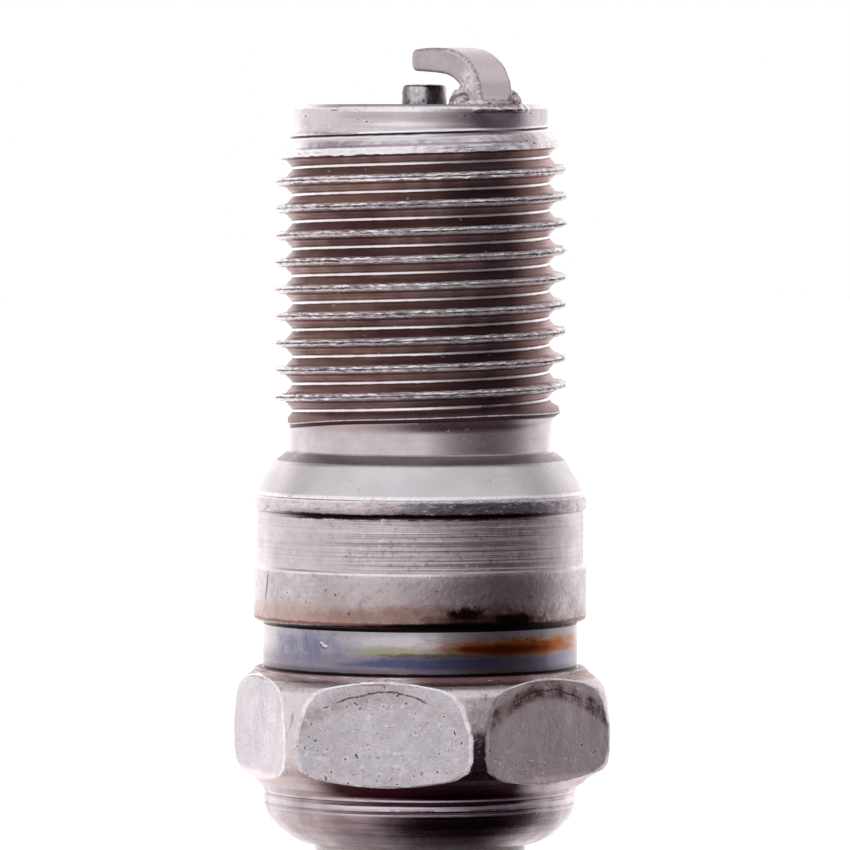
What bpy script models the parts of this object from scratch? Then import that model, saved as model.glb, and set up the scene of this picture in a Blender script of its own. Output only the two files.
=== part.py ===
"""A resistor spark plug with an M14 x 1.25 thread, a conical seat and a 5/8 inch hexagon.

Run with: blender --background --python part.py

The firing end points up. The origin is on the plug's axis, at the gauge plane of the conical
seat, which is where the plug meets a cylinder head. +Z runs along the axis to the firing end,
and the side electrode stands towards +X and -Y. Every length below is in millimetres, and MM
turns it into metres.

The plug holds 14 separate pieces. The shell, side electrode, terminal nut and insulator show
from outside. Inside the insulator's bore lie the centre electrode with its copper core, two glass
seals with the resistor between them, and the terminal stud. Between the shell and the insulator lie
a seat washer, two packing rings and the talc between them. The terminal nut screws off the stud.
"""

import math

import bmesh
import bpy
from mathutils import Matrix, Vector

MM = 0.001

# ---------------------------------------------------------------- driving dimensions, mm
CLEARANCE = 0.04  # between two pieces that touch on the real plug
STEPS = 36  # facets round a large turned piece
SMALL_STEPS = 24  # facets round a small one

# The thread of the shell, M14 x 1.25
THREAD_PITCH = 1.25
THREAD_CREST_R = 6.85
THREAD_ROOT_R = 5.98
THREAD_CREST_HALF = 0.08  # half the width of the crest
THREAD_PHASE_Z = 0.75  # height of a crest on the +X side, less whole pitches
RIDGE_STEPS = 36  # facets in each turn of the thread
RIDGE_TURNS = 13
WINDING_START = math.radians(3.3)

# The shell, from its firing end down
REACH = 17.5  # gauge plane to the firing end's face
PILOT_R = 5.89  # plain lead-in above the thread
NECK_R = 6.075  # plain neck between the thread and the seat
SEAT_GAUGE_R = 7.4  # the cone's radius at the gauge plane
SEAT_HALF_ANGLE = math.radians(31.5)
SEAT_TOP_R = 6.84
COLLAR_R = 7.74
RECESS_R = 7.61  # shallow turned recess round the collar
GROOVE_R = 7.30  # thin groove that is heated when the shell is crimped
GROOVE_TOP_Z = -6.50
HEX_TOP_Z = -8.70
HEX_APOTHEM = 7.85
HEX_STOCK = 80.0  # length of the hexagonal bar that the shell is turned from
HEX_TURN = math.radians(47.8)  # from +X to a corner's direction
LOWER_COLLAR_R = 7.27
CRIMP_END_Z = -16.85

# The shell's bore
MOUTH_R = 4.15
LEDGE_R = 3.90
LEDGE_Z = 4.90  # where the ledge's cone begins
WAIST_R = 4.75
WAIST_TOP_Z = 4.20
WAIST_END_Z = -3.90
CHAMBER_R = 6.10  # widest part of the bore, under the hexagon
CHAMBER_TOP_Z = -5.00
LIP_R = 5.10  # hole that the crimped lip leaves round the insulator

# The insulator
NOSE_TIP_Z = 17.2
BARREL_R = 5.95
NECK_INSULATOR_R = 4.95
RIB_COUNT = 5
RIB_PITCH = 2.5
RIB_TOP_Z = -21.4
RIB_DEPTH = 0.62
INSULATOR_END_Z = -41.0
BORE_R = 2.0
NARROW_BORE_R = 1.06

# The centre electrode
TIP_R = 1.0
TIP_Z = 18.42
HEAD_R = 1.78
HEAD_TOP_Z = 2.87
FOOT_R = 1.22
ELECTRODE_END_Z = 0.65
CORE_R = 0.55

# The side electrode, a bent strap
STRAP_THICK = 1.25
STRAP_WIDE = 2.05
STRAP_EDGE = 0.16  # rounding of the strap's long edges
STRAP_BEARING = math.radians(-48.5)  # from +X to the strap's outward direction
STRAP_RADIUS = 4.65  # the plug's axis to the middle of the upright
STRAP_BEND_R = 1.15
STRAP_BEND_Z = 18.25
STRAP_RISE = math.radians(4.7)  # how far the arm tips up towards its end
STRAP_TIP_RADIUS = 0.56
WELD_LONG = 1.75
WELD_ACROSS = 1.0
WELD_TALL = 0.62

# The terminal
STUD_R = 1.85
STUD_ANCHOR_R = 1.50
STUD_ANCHOR_Z = -10.7
STUD_FLANGE_R = 2.9
STUD_FLANGE_TOP_Z = INSULATOR_END_Z - CLEARANCE
STUD_FLANGE_END_Z = -42.0
M4_CREST_R = 1.96
M4_ROOT_R = 1.60
M4_PITCH = 0.7
M4_END_Z = -48.9
NUT_TOP_Z = STUD_FLANGE_END_Z - CLEARANCE
NUT_END_Z = -50.5
NUT_BORE_R = 2.05
NUT_BORE_END_Z = -49.2
NUT_KNURL_R = 3.15
KNURL_COUNT = 20
KNURL_DEPTH = 0.14

# The filling of the insulator's bore
FILL_R = BORE_R - CLEARANCE
LOWER_GLASS = (1.35, -2.2)  # top and bottom heights
RESISTOR = (-2.24, -9.4)
UPPER_GLASS = (-9.44, -13.0)

# The packing round the insulator
PACKING_WIRE_R = 0.50
PACKING_MID_R = 5.53
UPPER_RING_Z = -12.33
TALC = (-12.87, -14.58)
LOWER_RING_Z = -15.12

COLOURS = {  # name: (colour, metallic, roughness)
    "nickel_plated_steel": ((0.60, 0.56, 0.56), 1.0, 0.38),
    "nickel_alloy": ((0.56, 0.52, 0.51), 1.0, 0.42),
    "copper": ((0.80, 0.42, 0.28), 1.0, 0.35),
    "alumina": ((0.90, 0.89, 0.86), 0.0, 0.25),
    "packing_steel": ((0.50, 0.50, 0.51), 1.0, 0.45),
    "talc": ((0.86, 0.84, 0.80), 0.0, 0.90),
    "seal_glass": ((0.30, 0.22, 0.18), 0.3, 0.35),
    "resistor_carbon": ((0.05, 0.05, 0.055), 0.0, 0.70),
    "plated_terminal": ((0.68, 0.67, 0.64), 1.0, 0.30),
}


# ---------------------------------------------------------------- scene and modelling helpers
def clear_scene():
    for obj in list(bpy.data.objects):
        bpy.data.objects.remove(obj, do_unlink=True)


def new_collection(name):
    collection = bpy.data.collections.new(name)
    bpy.context.scene.collection.children.link(collection)
    return collection


def make_materials():
    made = {}
    for name, (colour, metallic, roughness) in COLOURS.items():
        material = bpy.data.materials.new(name)
        material.use_nodes = True
        shader = material.node_tree.nodes["Principled BSDF"]
        shader.inputs["Base Color"].default_value = (*colour, 1.0)
        shader.inputs["Metallic"].default_value = metallic
        shader.inputs["Roughness"].default_value = roughness
        made[name] = material
    return made


def add_object(name, data, collection, material=None):
    obj = bpy.data.objects.new(name, data)
    collection.objects.link(obj)
    if material is not None:
        obj.data.materials.append(material)
    return obj


def as_cutter(obj):
    obj.hide_render = True
    obj.display_type = "WIRE"
    return obj


def take_primitive(name, cutters):
    """Names the primitive just added, and moves it to the cutters."""
    obj = bpy.context.object
    obj.name = name
    for collection in list(obj.users_collection):
        collection.objects.unlink(obj)
    cutters.objects.link(obj)
    return as_cutter(obj)


def arc(centre, radius, start, end, count):
    """Points (r, z) on an arc, from the start to the end angle in degrees, both ends included."""
    points = []
    for i in range(count + 1):
        angle = math.radians(start + (end - start) * i / count)
        points.append((centre[0] + radius * math.cos(angle), centre[1] + radius * math.sin(angle)))
    return points


def turned(name, profile, collection, material=None, steps=STEPS, closed=False):
    """A profile of (r, z) points in mm, top to bottom on its outer side, turned round Z.

    A closed profile goes on up its inner side, and leaves a bore. An open one ends on the axis.
    """
    mesh = bpy.data.meshes.new(name)
    edges = [(i, i + 1) for i in range(len(profile) - 1)]
    if closed:
        edges.append((len(profile) - 1, 0))
    mesh.from_pydata([(r * MM, 0.0, z * MM) for r, z in profile], edges, [])
    obj = add_object(name, mesh, collection, material)
    screw = obj.modifiers.new("Turn", "SCREW")
    screw.axis = "Z"
    screw.angle = math.tau
    screw.steps = steps
    screw.render_steps = steps
    screw.use_merge_vertices = True
    screw.merge_threshold = 1e-6
    screw.use_smooth_shade = False
    return obj


def boolean(obj, other, operation):
    modifier = obj.modifiers.new(operation.title(), "BOOLEAN")
    modifier.operation = operation
    modifier.solver = "EXACT"
    modifier.object = other
    return modifier


def shade(obj, angle=35.0):
    """Replaces an object's mesh by its evaluated one, smooth shaded up to a crease angle."""
    bpy.context.view_layer.update()
    graph = bpy.context.evaluated_depsgraph_get()
    mesh = bpy.data.meshes.new_from_object(obj.evaluated_get(graph), depsgraph=graph)
    obj.modifiers.clear()
    obj.data = mesh
    mesh.shade_smooth()
    mesh.set_sharp_from_angle(angle=math.radians(angle))
    return obj


def helical_ridge(name, ridge, pitch, phase_z, turns, steps, collection):
    """A ridge of (r, z offset) points in mm, wound right-handed round Z, with its two ends capped.

    The winding begins off the +X side, so that its facets fall between those of turned pieces.
    """
    start = phase_z - pitch * (1.0 - WINDING_START / math.tau)
    mesh = bpy.data.meshes.new(name)
    edges = [(i, (i + 1) % len(ridge)) for i in range(len(ridge))]
    mesh.from_pydata([(r * MM, 0.0, (start + z) * MM) for r, z in ridge], edges, [])
    obj = add_object(name, mesh, collection)
    screw = obj.modifiers.new("Wind", "SCREW")
    screw.axis = "Z"
    screw.angle = math.tau
    screw.screw_offset = pitch * MM
    screw.iterations = turns
    screw.steps = steps
    screw.render_steps = steps
    shade(obj)
    shape = bmesh.new()
    shape.from_mesh(obj.data)
    bmesh.ops.remove_doubles(shape, verts=shape.verts, dist=1e-7)
    bmesh.ops.holes_fill(shape, edges=shape.edges)
    bmesh.ops.recalc_face_normals(shape, faces=shape.faces)
    shape.transform(Matrix.Rotation(WINDING_START, 4, "Z"))
    shape.to_mesh(obj.data)
    shape.free()
    return as_cutter(obj)


def thread_ridge(crest_r, root_r, crest_half):
    """Section of a 60 degree thread's ridge, whose foot is sunk below the root of the thread."""
    shallow, deep = 0.04, 0.25
    foot = crest_half + (crest_r - root_r + shallow) * math.tan(math.radians(30.0))
    return [
        (crest_r, crest_half),
        (crest_r, -crest_half),
        (root_r - shallow, -foot),
        (root_r - deep, -foot),
        (root_r - deep, foot),
        (root_r - shallow, foot),
    ]


# ---------------------------------------------------------------- the shell
def shell_outside():
    """The outer side of the shell's profile, from the firing end's face to the crimped lip."""
    cone_fall = 1.0 / math.tan(SEAT_HALF_ANGLE)
    seat_top_z = (SEAT_GAUGE_R - SEAT_TOP_R) * cone_fall
    seat_end_z = -(COLLAR_R - SEAT_GAUGE_R) * cone_fall
    face_and_neck = [
        (PILOT_R - 0.2, REACH),
        (PILOT_R, REACH - 0.2),
        (PILOT_R, 16.60),
        (THREAD_ROOT_R, 16.30),
        (THREAD_ROOT_R, 2.85),
        (NECK_R, 2.70),
        (NECK_R, 1.52),
        (NECK_R + 0.10, 1.40),
        (NECK_R + 0.32, 1.25),
    ]
    seat_and_collar = [
        (SEAT_TOP_R, seat_top_z),
        (COLLAR_R, seat_end_z),
        (COLLAR_R, -1.30),
        (RECESS_R, -1.38),
        (RECESS_R, -3.83),
        (COLLAR_R, -3.93),
        (COLLAR_R, -6.08),
        (COLLAR_R - 0.10, -6.24),
        (GROOVE_R, GROOVE_TOP_Z),
    ]
    groove_and_hexagon = [
        (GROOVE_R + 0.04, (GROOVE_TOP_Z + HEX_TOP_Z) / 2),
        (GROOVE_R, HEX_TOP_Z),
        (7.70, HEX_TOP_Z),
        (7.90, -8.80),
        (8.30, -9.12),
        (8.52, -9.45),
        (8.70, -10.05),
        (8.87, -11.30),
        (8.87, -12.43),
        (8.77, -13.10),
        (8.52, -13.52),
        (7.90, -13.93),
        (7.42, -14.22),
    ]
    crimp = [
        (LOWER_COLLAR_R, -14.40),
        (LOWER_COLLAR_R, -14.90),
        (7.18, -15.25),
        (6.97, -15.68),
        (6.62, -16.08),
        (6.15, -16.46),
        (5.70, -16.72),
        (5.25, CRIMP_END_Z),
        (LIP_R, CRIMP_END_Z + 0.08),
    ]
    return face_and_neck + seat_and_collar + groove_and_hexagon + crimp


def shell_inside():
    """The inner side of the shell's profile, from the crimped lip up to the firing end's mouth."""
    return [
        (LIP_R, -15.95),
        (5.60, -15.77),
        (6.00, -15.45),
        (CHAMBER_R, -15.15),
        (CHAMBER_R, CHAMBER_TOP_Z),
        (WAIST_R, WAIST_END_Z),
        (WAIST_R, WAIST_TOP_Z),
        (LEDGE_R, LEDGE_Z),
        (LEDGE_R, 6.60),
        (MOUTH_R, 6.90),
        (MOUTH_R, REACH - 0.1),
        (MOUTH_R + 0.1, REACH),
    ]


def thread_envelope(collection):
    """The turned blank that the thread is rolled from: it fades the thread out at both ends."""
    profile = [
        (0.0, 17.0),
        (5.80, 17.0),
        (6.34, 16.05),
        (6.62, 15.10),
        (6.78, 13.90),
        (THREAD_CREST_R + 0.05, 13.00),
        (THREAD_CREST_R + 0.05, 3.95),
        (6.60, 3.30),
        (6.25, 2.88),
        (5.85, 2.10),
        (0.0, 2.10),
    ]
    return as_cutter(turned("thread_blank", profile, collection))


def make_shell(parts, cutters, materials):
    shell = turned(
        "metal_shell",
        shell_outside() + shell_inside(),
        parts,
        materials["nickel_plated_steel"],
        closed=True,
    )
    corner_r = HEX_APOTHEM / math.cos(math.radians(30.0))
    bpy.ops.mesh.primitive_cylinder_add(vertices=6, radius=corner_r * MM, depth=HEX_STOCK * MM)
    prism = take_primitive("hexagon_stock", cutters)
    # A primitive's first corner lies on +Y.
    prism.rotation_euler.z = HEX_TURN - math.radians(90.0)

    ridge = helical_ridge(
        "thread_ridge",
        thread_ridge(THREAD_CREST_R, THREAD_ROOT_R, THREAD_CREST_HALF),
        THREAD_PITCH,
        THREAD_PHASE_Z + THREAD_PITCH,
        RIDGE_TURNS,
        RIDGE_STEPS,
        cutters,
    )
    boolean(ridge, thread_envelope(cutters), "INTERSECT")
    boolean(shell, prism, "INTERSECT")
    boolean(shell, ridge, "UNION")
    return shade(shell)


# ---------------------------------------------------------------- the side electrode
def strap_outline():
    """The bent strap's side view as (distance from the axis, z) points, anticlockwise."""
    half = STRAP_THICK / 2
    bend_x = STRAP_RADIUS - STRAP_BEND_R
    sweep = 90.0 - math.degrees(STRAP_RISE)
    outer = arc((bend_x, STRAP_BEND_Z), STRAP_BEND_R + half, 0.0, sweep, 8)
    inner = arc((bend_x, STRAP_BEND_Z), STRAP_BEND_R - half, sweep, 0.0, 6)
    along = Vector((-math.cos(STRAP_RISE), math.sin(STRAP_RISE)))
    across = Vector((math.sin(STRAP_RISE), math.cos(STRAP_RISE)))
    bend_end = Vector(
        (
            bend_x + STRAP_BEND_R * math.cos(math.radians(sweep)),
            STRAP_BEND_Z + STRAP_BEND_R * math.sin(math.radians(sweep)),
        )
    )
    arm = (bend_end.x - STRAP_TIP_RADIUS) / math.cos(STRAP_RISE)
    tip = bend_end + along * arm
    tip_upper = tip + across * half
    tip_lower = tip - across * half
    foot_z = REACH + CLEARANCE
    return (
        [(STRAP_RADIUS + half, foot_z)]
        + outer
        + [tuple(tip_upper), tuple(tip_lower)]
        + inner
        + [(STRAP_RADIUS - half, foot_z)]
    )


def make_side_electrode(parts, cutters, materials):
    outline = strap_outline()
    curve = bpy.data.curves.new("strap_outline", "CURVE")
    curve.dimensions = "2D"
    curve.fill_mode = "BOTH"
    curve.extrude = STRAP_WIDE / 2 * MM
    spline = curve.splines.new("POLY")
    spline.points.add(len(outline) - 1)
    for point, (x, z) in zip(spline.points, outline):
        point.co = (x * MM, z * MM, 0.0, 1.0)
    spline.use_cyclic_u = True
    flat = add_object("strap_curve", curve, cutters)
    bpy.context.view_layer.update()
    graph = bpy.context.evaluated_depsgraph_get()
    mesh = bpy.data.meshes.new_from_object(flat.evaluated_get(graph), depsgraph=graph)
    bpy.data.objects.remove(flat)
    shape = bmesh.new()
    shape.from_mesh(mesh)
    bmesh.ops.remove_doubles(shape, verts=shape.verts, dist=1e-6)
    bmesh.ops.dissolve_limit(shape, angle_limit=1e-4, verts=shape.verts, edges=shape.edges)
    # The curve lies in XY, so it is stood up, then turned to its bearing.
    stand = Matrix.Rotation(STRAP_BEARING, 4, "Z") @ Matrix.Rotation(math.radians(90.0), 4, "X")
    shape.transform(stand)
    shape.to_mesh(mesh)
    shape.free()
    strap = add_object("ground_electrode", mesh, parts, materials["nickel_alloy"])
    bevel = strap.modifiers.new("Edges", "BEVEL")
    bevel.width = STRAP_EDGE * MM
    bevel.segments = 2
    bevel.limit_method = "ANGLE"
    bevel.angle_limit = math.radians(50.0)
    shade(strap)

    flash = weld_flash(cutters)
    boolean(strap, flash, "UNION")
    return shade(strap)


def weld_flash(cutters):
    """The bead of metal squeezed out round the strap's foot, flat where it meets the shell."""
    bpy.ops.mesh.primitive_uv_sphere_add(segments=24, ring_count=12, radius=MM)
    bead = take_primitive("weld_bead", cutters)
    outward = Vector((math.cos(STRAP_BEARING), math.sin(STRAP_BEARING), 0.0))
    place = Matrix.Translation(outward * STRAP_RADIUS * MM + Vector((0.0, 0.0, REACH * MM)))
    size = Matrix.Diagonal((WELD_ACROSS, WELD_LONG, WELD_TALL, 1.0))
    bead.data.transform(place @ Matrix.Rotation(STRAP_BEARING, 4, "Z") @ size)
    shape = bmesh.new()
    shape.from_mesh(bead.data)
    foot = Vector((0.0, 0.0, (REACH + CLEARANCE) * MM))
    everything = shape.verts[:] + shape.edges[:] + shape.faces[:]
    cut = bmesh.ops.bisect_plane(
        shape, geom=everything, plane_co=foot, plane_no=(0.0, 0.0, -1.0), clear_outer=True
    )
    rim = [item for item in cut["geom_cut"] if isinstance(item, bmesh.types.BMEdge)]
    bmesh.ops.holes_fill(shape, edges=rim)
    bmesh.ops.recalc_face_normals(shape, faces=shape.faces)
    shape.to_mesh(bead.data)
    shape.free()
    return bead


# ---------------------------------------------------------------- the insulator
def rib_points():
    """The corrugations as (r, z) points, top to bottom: each rib is round and each groove a fillet."""
    points = []
    for i in range(RIB_COUNT):
        top = RIB_TOP_Z - i * RIB_PITCH
        points += [
            (NECK_INSULATOR_R, top),
            (NECK_INSULATOR_R - 0.30, top - 0.28),
            (NECK_INSULATOR_R - RIB_DEPTH, top - 0.85),
            (NECK_INSULATOR_R - RIB_DEPTH + 0.10, top - 1.35),
            (NECK_INSULATOR_R - 0.10, top - 1.75),
        ]
    return points


def make_insulator(parts, materials):
    washer_drop = 0.36  # the seat washer's thickness, along Z
    nose = [
        (1.35, NOSE_TIP_Z),
        (2.05, NOSE_TIP_Z - 0.05),
        (2.32, NOSE_TIP_Z - 0.30),
        (3.30, 7.4),
        (3.62, 6.6),
        (LEDGE_R - 0.14, 6.2),
        (LEDGE_R - 0.14, LEDGE_Z - washer_drop),
        (WAIST_R - 0.09, WAIST_TOP_Z - washer_drop),
        (WAIST_R - 0.09, WAIST_END_Z - 0.20),
        (BARREL_R, CHAMBER_TOP_Z - 0.35),
        (BARREL_R, -11.20),
        (BARREL_R - 0.25, -11.55),
        (NECK_INSULATOR_R + 0.05, -11.80),
        (NECK_INSULATOR_R, -12.00),
    ]
    head = [
        (NECK_INSULATOR_R - 0.05, RIB_TOP_Z - RIB_COUNT * RIB_PITCH),
        (4.45, -37.5),
        (4.10, -40.3),
        (3.85, -40.8),
        (3.45, INSULATOR_END_Z),
    ]
    bore = [
        (BORE_R + 0.1, INSULATOR_END_Z),
        (BORE_R, INSULATOR_END_Z + 0.15),
        (BORE_R, 2.10),
        (NARROW_BORE_R, 2.90),
        (NARROW_BORE_R, NOSE_TIP_Z - 0.08),
    ]
    profile = nose + rib_points() + head + bore
    return shade(turned("insulator", profile, parts, materials["alumina"], closed=True))


# ---------------------------------------------------------------- the centre electrode
def make_centre_electrode(parts, materials):
    """The nickel sheath is a cup, open at its foot, and the copper core fills it."""
    core_top_z = TIP_Z - 2.2
    sheath = [
        (0.0, TIP_Z),
        (TIP_R - 0.05, TIP_Z),
        (TIP_R, TIP_Z - 0.05),
        (TIP_R, HEAD_TOP_Z),
        (HEAD_R, HEAD_TOP_Z - 0.69),
        (HEAD_R, 1.65),
        (FOOT_R, 1.40),
        (FOOT_R - 0.12, 1.05),
        (FOOT_R, ELECTRODE_END_Z),
        (CORE_R + CLEARANCE, ELECTRODE_END_Z),
        (CORE_R + CLEARANCE, core_top_z),
        (0.0, core_top_z + 0.3),
    ]
    shade(
        turned(
            "centre_electrode", sheath, parts, materials["nickel_alloy"], steps=SMALL_STEPS
        )
    )
    core = [
        (0.0, core_top_z - CLEARANCE),
        (CORE_R, core_top_z - 0.15),
        (CORE_R, ELECTRODE_END_Z),
        (0.0, ELECTRODE_END_Z),
    ]
    shade(turned("copper_core", core, parts, materials["copper"], steps=SMALL_STEPS // 2))


# ---------------------------------------------------------------- the filling of the insulator
def make_glass_and_resistor(parts, materials):
    """The lower seal has a hollow for the electrode's foot, and the upper one for the stud's end."""
    top, bottom = LOWER_GLASS
    hollow_r, floor_z = FOOT_R + 0.08, ELECTRODE_END_Z - CLEARANCE
    lower = [
        (0.0, floor_z),
        (hollow_r, floor_z),
        (hollow_r, top),
        (FILL_R, top),
        (FILL_R, bottom),
        (0.0, bottom),
    ]
    top, bottom = RESISTOR
    element = [(0.0, top), (FILL_R, top), (FILL_R, bottom), (0.0, bottom)]
    top, bottom = UPPER_GLASS
    hollow_r, floor_z = STUD_ANCHOR_R + 0.12, STUD_ANCHOR_Z + CLEARANCE
    upper = [
        (0.0, top),
        (FILL_R, top),
        (FILL_R, bottom),
        (hollow_r, bottom),
        (hollow_r, floor_z),
        (0.0, floor_z),
    ]
    for name, profile, material in (
        ("lower_glass_seal", lower, "seal_glass"),
        ("resistor_element", element, "resistor_carbon"),
        ("upper_glass_seal", upper, "seal_glass"),
    ):
        shade(turned(name, profile, parts, materials[material], steps=SMALL_STEPS))


# ---------------------------------------------------------------- the packing
def make_packing(parts, materials):
    """The washer on the shell's ledge, and the two rings with talc between them under the lip."""
    steel = materials["packing_steel"]
    thick = 0.26
    outer_r, inner_r = WAIST_R - 0.06, LEDGE_R + 0.06
    fall = (LEDGE_Z - WAIST_TOP_Z) / (WAIST_R - LEDGE_R)
    outer_z = WAIST_TOP_Z + fall * (WAIST_R - outer_r) - CLEARANCE
    inner_z = LEDGE_Z - fall * (inner_r - LEDGE_R) - CLEARANCE
    washer = [
        (outer_r, outer_z),
        (outer_r, outer_z - thick),
        (inner_r, inner_z - thick),
        (inner_r, inner_z),
    ]
    shade(turned("seat_washer", washer, parts, steel, closed=True))
    for name, height in (("upper_packing_ring", UPPER_RING_Z), ("lower_packing_ring", LOWER_RING_Z)):
        ring = arc((PACKING_MID_R, height), PACKING_WIRE_R, 90.0, -270.0, 8)[:-1]
        shade(turned(name, ring, parts, steel, steps=SMALL_STEPS, closed=True), angle=60.0)
    top, bottom = TALC
    outer_r, inner_r = CHAMBER_R - 0.06, NECK_INSULATOR_R + 0.06
    talc = [(outer_r, top), (outer_r, bottom), (inner_r, bottom), (inner_r, top)]
    shade(turned("talc_packing", talc, parts, materials["talc"], closed=True))


# ---------------------------------------------------------------- the terminal
def make_stud(parts, cutters, materials):
    profile = [
        (0.0, STUD_ANCHOR_Z),
        (STUD_ANCHOR_R - 0.2, STUD_ANCHOR_Z),
        (STUD_ANCHOR_R, STUD_ANCHOR_Z - 0.2),
        (STUD_ANCHOR_R, UPPER_GLASS[1] - 0.10),
        (STUD_R, UPPER_GLASS[1] - 0.45),
        (STUD_R, STUD_FLANGE_TOP_Z),
        (STUD_FLANGE_R, STUD_FLANGE_TOP_Z),
        (STUD_FLANGE_R, STUD_FLANGE_END_Z + 0.12),
        (STUD_FLANGE_R - 0.12, STUD_FLANGE_END_Z),
        (M4_ROOT_R, STUD_FLANGE_END_Z),
        (M4_ROOT_R, M4_END_Z + 0.2),
        (M4_ROOT_R - 0.2, M4_END_Z),
        (0.0, M4_END_Z),
    ]
    stud = turned(
        "terminal_stud", profile, parts, materials["plated_terminal"], steps=SMALL_STEPS
    )
    blank = [
        (0.0, STUD_FLANGE_END_Z - 0.45),
        (M4_ROOT_R - 0.05, STUD_FLANGE_END_Z - 0.45),
        (M4_CREST_R + 0.02, STUD_FLANGE_END_Z - 0.85),
        (M4_CREST_R + 0.02, M4_END_Z + 0.70),
        (M4_ROOT_R - 0.05, M4_END_Z + 0.24),
        (0.0, M4_END_Z + 0.24),
    ]
    ridge = helical_ridge(
        "stud_thread_ridge",
        thread_ridge(M4_CREST_R, M4_ROOT_R, 0.06),
        M4_PITCH,
        M4_END_Z,
        12,
        24,
        cutters,
    )
    envelope = as_cutter(turned("stud_thread_blank", blank, cutters, steps=SMALL_STEPS))
    boolean(ridge, envelope, "INTERSECT")
    boolean(stud, ridge, "UNION")
    return shade(stud)


def make_nut(parts, cutters, materials):
    """The push-fit terminal: a blind nut with a waist, and a knurled rim to turn it by."""
    rim_end_z = NUT_TOP_Z - 1.90
    outside = [
        (NUT_BORE_R + 0.25, NUT_TOP_Z),
        (NUT_KNURL_R - 0.35, NUT_TOP_Z),
        (NUT_KNURL_R - 0.35, rim_end_z - 0.15),
        (2.66, -44.90),
        (2.45, -45.50),
        (2.62, -46.05),
        (2.98, -46.50),
        (3.16, -47.10),
        (3.18, -48.60),
        (3.02, -49.55),
        (2.62, -50.25),
        (2.25, NUT_END_Z),
        (0.0, NUT_END_Z),
    ]
    bore = [
        (0.0, NUT_BORE_END_Z),
        (NUT_BORE_R, NUT_BORE_END_Z + 0.35),
        (NUT_BORE_R, NUT_TOP_Z - 0.20),
        (NUT_BORE_R + 0.25, NUT_TOP_Z),
    ]
    material = materials["plated_terminal"]
    nut = turned("terminal_nut", outside + bore, parts, material, steps=SMALL_STEPS)
    boolean(nut, knurled_rim(NUT_TOP_Z - 0.15, rim_end_z, cutters), "UNION")
    return shade(nut)


def knurled_rim(top, bottom, cutters):
    """A ring with a straight knurl: a wavy outline, extruded, with a hole inside the nut's wall."""
    count = KNURL_COUNT * 4
    shape = bmesh.new()
    outer, inner = [], []
    for i in range(count):
        angle = math.tau * i / count
        radius = NUT_KNURL_R - KNURL_DEPTH / 2 * (1 + math.cos(angle * KNURL_COUNT))
        direction = Vector((math.cos(angle), math.sin(angle), 0.0))
        outer.append(shape.verts.new(direction * radius * MM + Vector((0, 0, top * MM))))
        inner.append(
            shape.verts.new(direction * (NUT_BORE_R + 0.4) * MM + Vector((0, 0, top * MM)))
        )
    faces = []
    for i in range(count):
        j = (i + 1) % count
        faces.append(shape.faces.new((outer[i], outer[j], inner[j], inner[i])))
    result = bmesh.ops.extrude_face_region(shape, geom=faces)
    lower = [item for item in result["geom"] if isinstance(item, bmesh.types.BMVert)]
    bmesh.ops.translate(shape, verts=lower, vec=(0.0, 0.0, (bottom - top) * MM))
    bmesh.ops.recalc_face_normals(shape, faces=shape.faces)
    mesh = bpy.data.meshes.new("knurled_rim")
    shape.to_mesh(mesh)
    shape.free()
    return as_cutter(add_object("knurled_rim", mesh, cutters))


# ---------------------------------------------------------------- the whole plug
def main():
    clear_scene()
    parts = new_collection("spark_plug")
    cutters = new_collection("cutters")
    materials = make_materials()
    make_shell(parts, cutters, materials)
    make_side_electrode(parts, cutters, materials)
    make_insulator(parts, materials)
    make_centre_electrode(parts, materials)
    make_glass_and_resistor(parts, materials)
    make_packing(parts, materials)
    make_stud(parts, cutters, materials)
    make_nut(parts, cutters, materials)


main()
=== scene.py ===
"""The looks of a used spark plug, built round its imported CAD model: camera, light, meshes, materials.

Lengths in this file are millimetres, and MM turns them into metres. The frame is the CAD model's: the
origin lies on the plug's axis at the seat's gauge plane, and +Z points to the firing end. A bearing is
an angle round the axis in degrees, measured from -Y, the side that faces the camera, towards +X.
"""

import math

import bmesh
import bpy
import numpy as np
from mathutils import Matrix, Vector, noise


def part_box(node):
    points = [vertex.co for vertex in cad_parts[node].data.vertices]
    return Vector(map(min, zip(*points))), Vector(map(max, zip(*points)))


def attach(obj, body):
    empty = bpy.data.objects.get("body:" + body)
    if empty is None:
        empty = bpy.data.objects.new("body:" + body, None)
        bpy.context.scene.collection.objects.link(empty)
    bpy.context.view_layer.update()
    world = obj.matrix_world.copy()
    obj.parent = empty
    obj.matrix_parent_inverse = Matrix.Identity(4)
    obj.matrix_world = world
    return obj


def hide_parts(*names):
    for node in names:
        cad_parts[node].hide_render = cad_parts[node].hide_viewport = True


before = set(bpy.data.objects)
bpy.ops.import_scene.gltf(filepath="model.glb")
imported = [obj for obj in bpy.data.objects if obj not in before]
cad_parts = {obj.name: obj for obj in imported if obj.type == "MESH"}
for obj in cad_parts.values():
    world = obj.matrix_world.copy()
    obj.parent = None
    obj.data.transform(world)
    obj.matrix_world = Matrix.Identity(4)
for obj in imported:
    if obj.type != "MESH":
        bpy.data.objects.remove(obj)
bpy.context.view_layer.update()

MM = 0.001

# ---- driving dimensions, mm
END_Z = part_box("terminal_nut")[0].z / MM

PITCH = 1.25
CREST_PHASE = 0.75  # height of a crest on the +X side, less whole pitches
ROOT_R = 5.98
JOIN_Z = 1.45  # the neck's foot, where the barrel's mesh meets the body's
HEX_APOTHEM = 7.85
HEX_FACE = -42.2  # from +X to one face's normal, degrees
STRAP_BEARING = math.radians(-48.5)  # from +X to the strap's outward direction

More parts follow.
